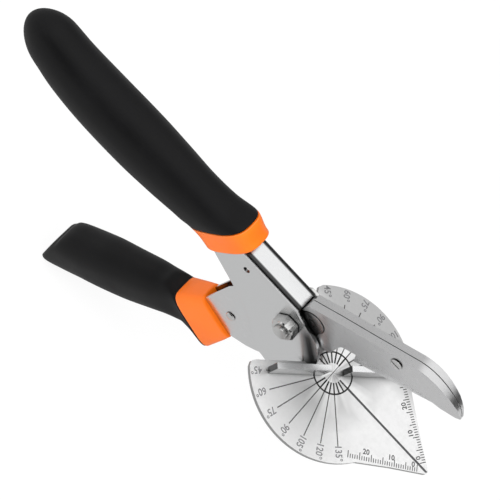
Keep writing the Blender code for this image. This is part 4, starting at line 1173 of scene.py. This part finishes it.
def card(name, radius, turns, rises, shade):
    """Part of a dome round the set that only metal sees."""
    form = bmesh.new()
    rows = []
    for k in range(CARD_STEPS + 1):
        rise = radians(rises[0] + (rises[1] - rises[0]) * k / CARD_STEPS)
        row = []
        for i in range(CARD_STEPS + 1):
            turn = radians(turns[0] + (turns[1] - turns[0]) * i / CARD_STEPS)
            out = Vector((cos(turn) * cos(rise), sin(turn) * cos(rise), sin(rise)))
            row.append(form.verts.new(out * radius))
        rows.append(row)
    bridge(form, rows, closed=False)
    return only_for_metal(in_scene(name, mesh_of(form)), shade)


def only_for_metal(piece, shade):
    """Gives a card its shade and hides it from everything but reflections."""
    material = bpy.data.materials.new(piece.name)
    nodes = bare_nodes(material)
    glow = nodes.out("ShaderNodeEmission", {"Color": (shade, shade, shade, 1.0), "Strength": 1.0})
    nodes.add("ShaderNodeOutputMaterial", {"Surface": glow})
    piece.data.materials.append(material)
    for ray in ("camera", "diffuse", "shadow", "transmission"):
        setattr(piece, f"visible_{ray}", False)
    return piece


def area_lamp(name, place, power):
    light = bpy.data.lights.new(name, "AREA")
    light.shape = "DISK"
    light.size = LAMP_SIZE
    light.energy = power
    lamp = in_scene(name, light)
    way = (LAMP_TARGET - place).to_track_quat("-Z", "Y")
    lamp.matrix_world = Matrix.Translation(place) @ way.to_matrix().to_4x4()
    lamp.visible_glossy = False


class BuildStudio(Operator):
    """Pale floor, soft lights, even sky and the camera"""

    bl_idname = "mitre_shears.studio"
    bl_label = "Build studio"

    def execute(self, context):
        s = sizes().studio
        low = CAD_BOX[0][2]
        floor = plane("studio_floor", s.floor_size, low - s.floor_gap)
        floor.data.materials.append(floor_material(s.white_share))
        for name, values in CARDS.items():
            card(name, *values)
        only_for_metal(plane("studio_card_low", s.card_size, low - s.floor_gap * 0.5), s.card_shade)
        self.light_sky(context, s)
        for name, (place, power) in LAMPS.items():
            area_lamp(name, place, getattr(s, power))
        self.place_camera(context, s)
        context.scene.view_settings.view_transform = "Standard"
        return {"FINISHED"}

    def light_sky(self, context, s):
        world = bpy.data.worlds.new("studio sky")
        nodes = bare_nodes(world)
        strength = nodes.stretch(seen_share(nodes), 0.0, 1.0, s.sky, 1.0)
        glow = nodes.out("ShaderNodeBackground", {"Color": WHITE, "Strength": strength})
        nodes.add("ShaderNodeOutputWorld", {"Surface": glow})
        context.scene.world = world

    def place_camera(self, context, s):
        data = bpy.data.cameras.new("studio_camera")
        data.lens = s.lens
        data.sensor_width = SENSOR_WIDTH
        data.clip_start = NEAR_CLIP
        data.clip_end = FAR_CLIP
        camera = in_scene("studio_camera", data)
        turn = Matrix((CAMERA_RIGHT, CAMERA_UP, CAMERA_BACK)).transposed()
        camera.matrix_world = Matrix.Translation(CAMERA_PLACE) @ turn.to_4x4()
        context.scene.camera = camera


# Panel and registration

OPERATORS = (DressNodes, BuildFrameHandle, BuildLeverHandle, BuildAngleMarks, BuildRulers, BuildNumbers,
             BuildPivotDetails, BuildStudio)
GROUPS = (FinishSettings, MarkSettings, GripSettings, FastenerSettings, StudioSettings, ShearsSettings)


class ShearsPanel(Panel):
    """Lists the pieces and their sizes"""

    bl_idname = "VIEW3D_PT_mitre_shears"
    bl_label = "Mitre Shears"
    bl_space_type = "VIEW_3D"
    bl_region_type = "UI"
    bl_category = "Mitre Shears"

    def draw(self, context):
        for operator in OPERATORS:
            self.layout.operator(operator.bl_idname)
        groups = context.scene.mitre_shears
        for name in ("finishes", "marks", "grips", "fasteners", "studio"):
            box = self.layout.box()
            box.label(text=name.capitalize())
            group = getattr(groups, name)
            for prop in group.bl_rna.properties:
                if prop.identifier not in ("rna_type", "name"):
                    box.prop(group, prop.identifier)


def register():
    for item in (*GROUPS, *OPERATORS, ShearsPanel):
        bpy.utils.register_class(item)
    bpy.types.Scene.mitre_shears = PointerProperty(type=ShearsSettings)


def unregister():
    del bpy.types.Scene.mitre_shears
    for item in reversed((*GROUPS, *OPERATORS, ShearsPanel)):
        bpy.utils.unregister_class(item)


def main():
    register()
    for operator in OPERATORS:
        group, name = operator.bl_idname.split(".")
        getattr(getattr(bpy.ops, group), name)()


if __name__ == "__main__":
    main()
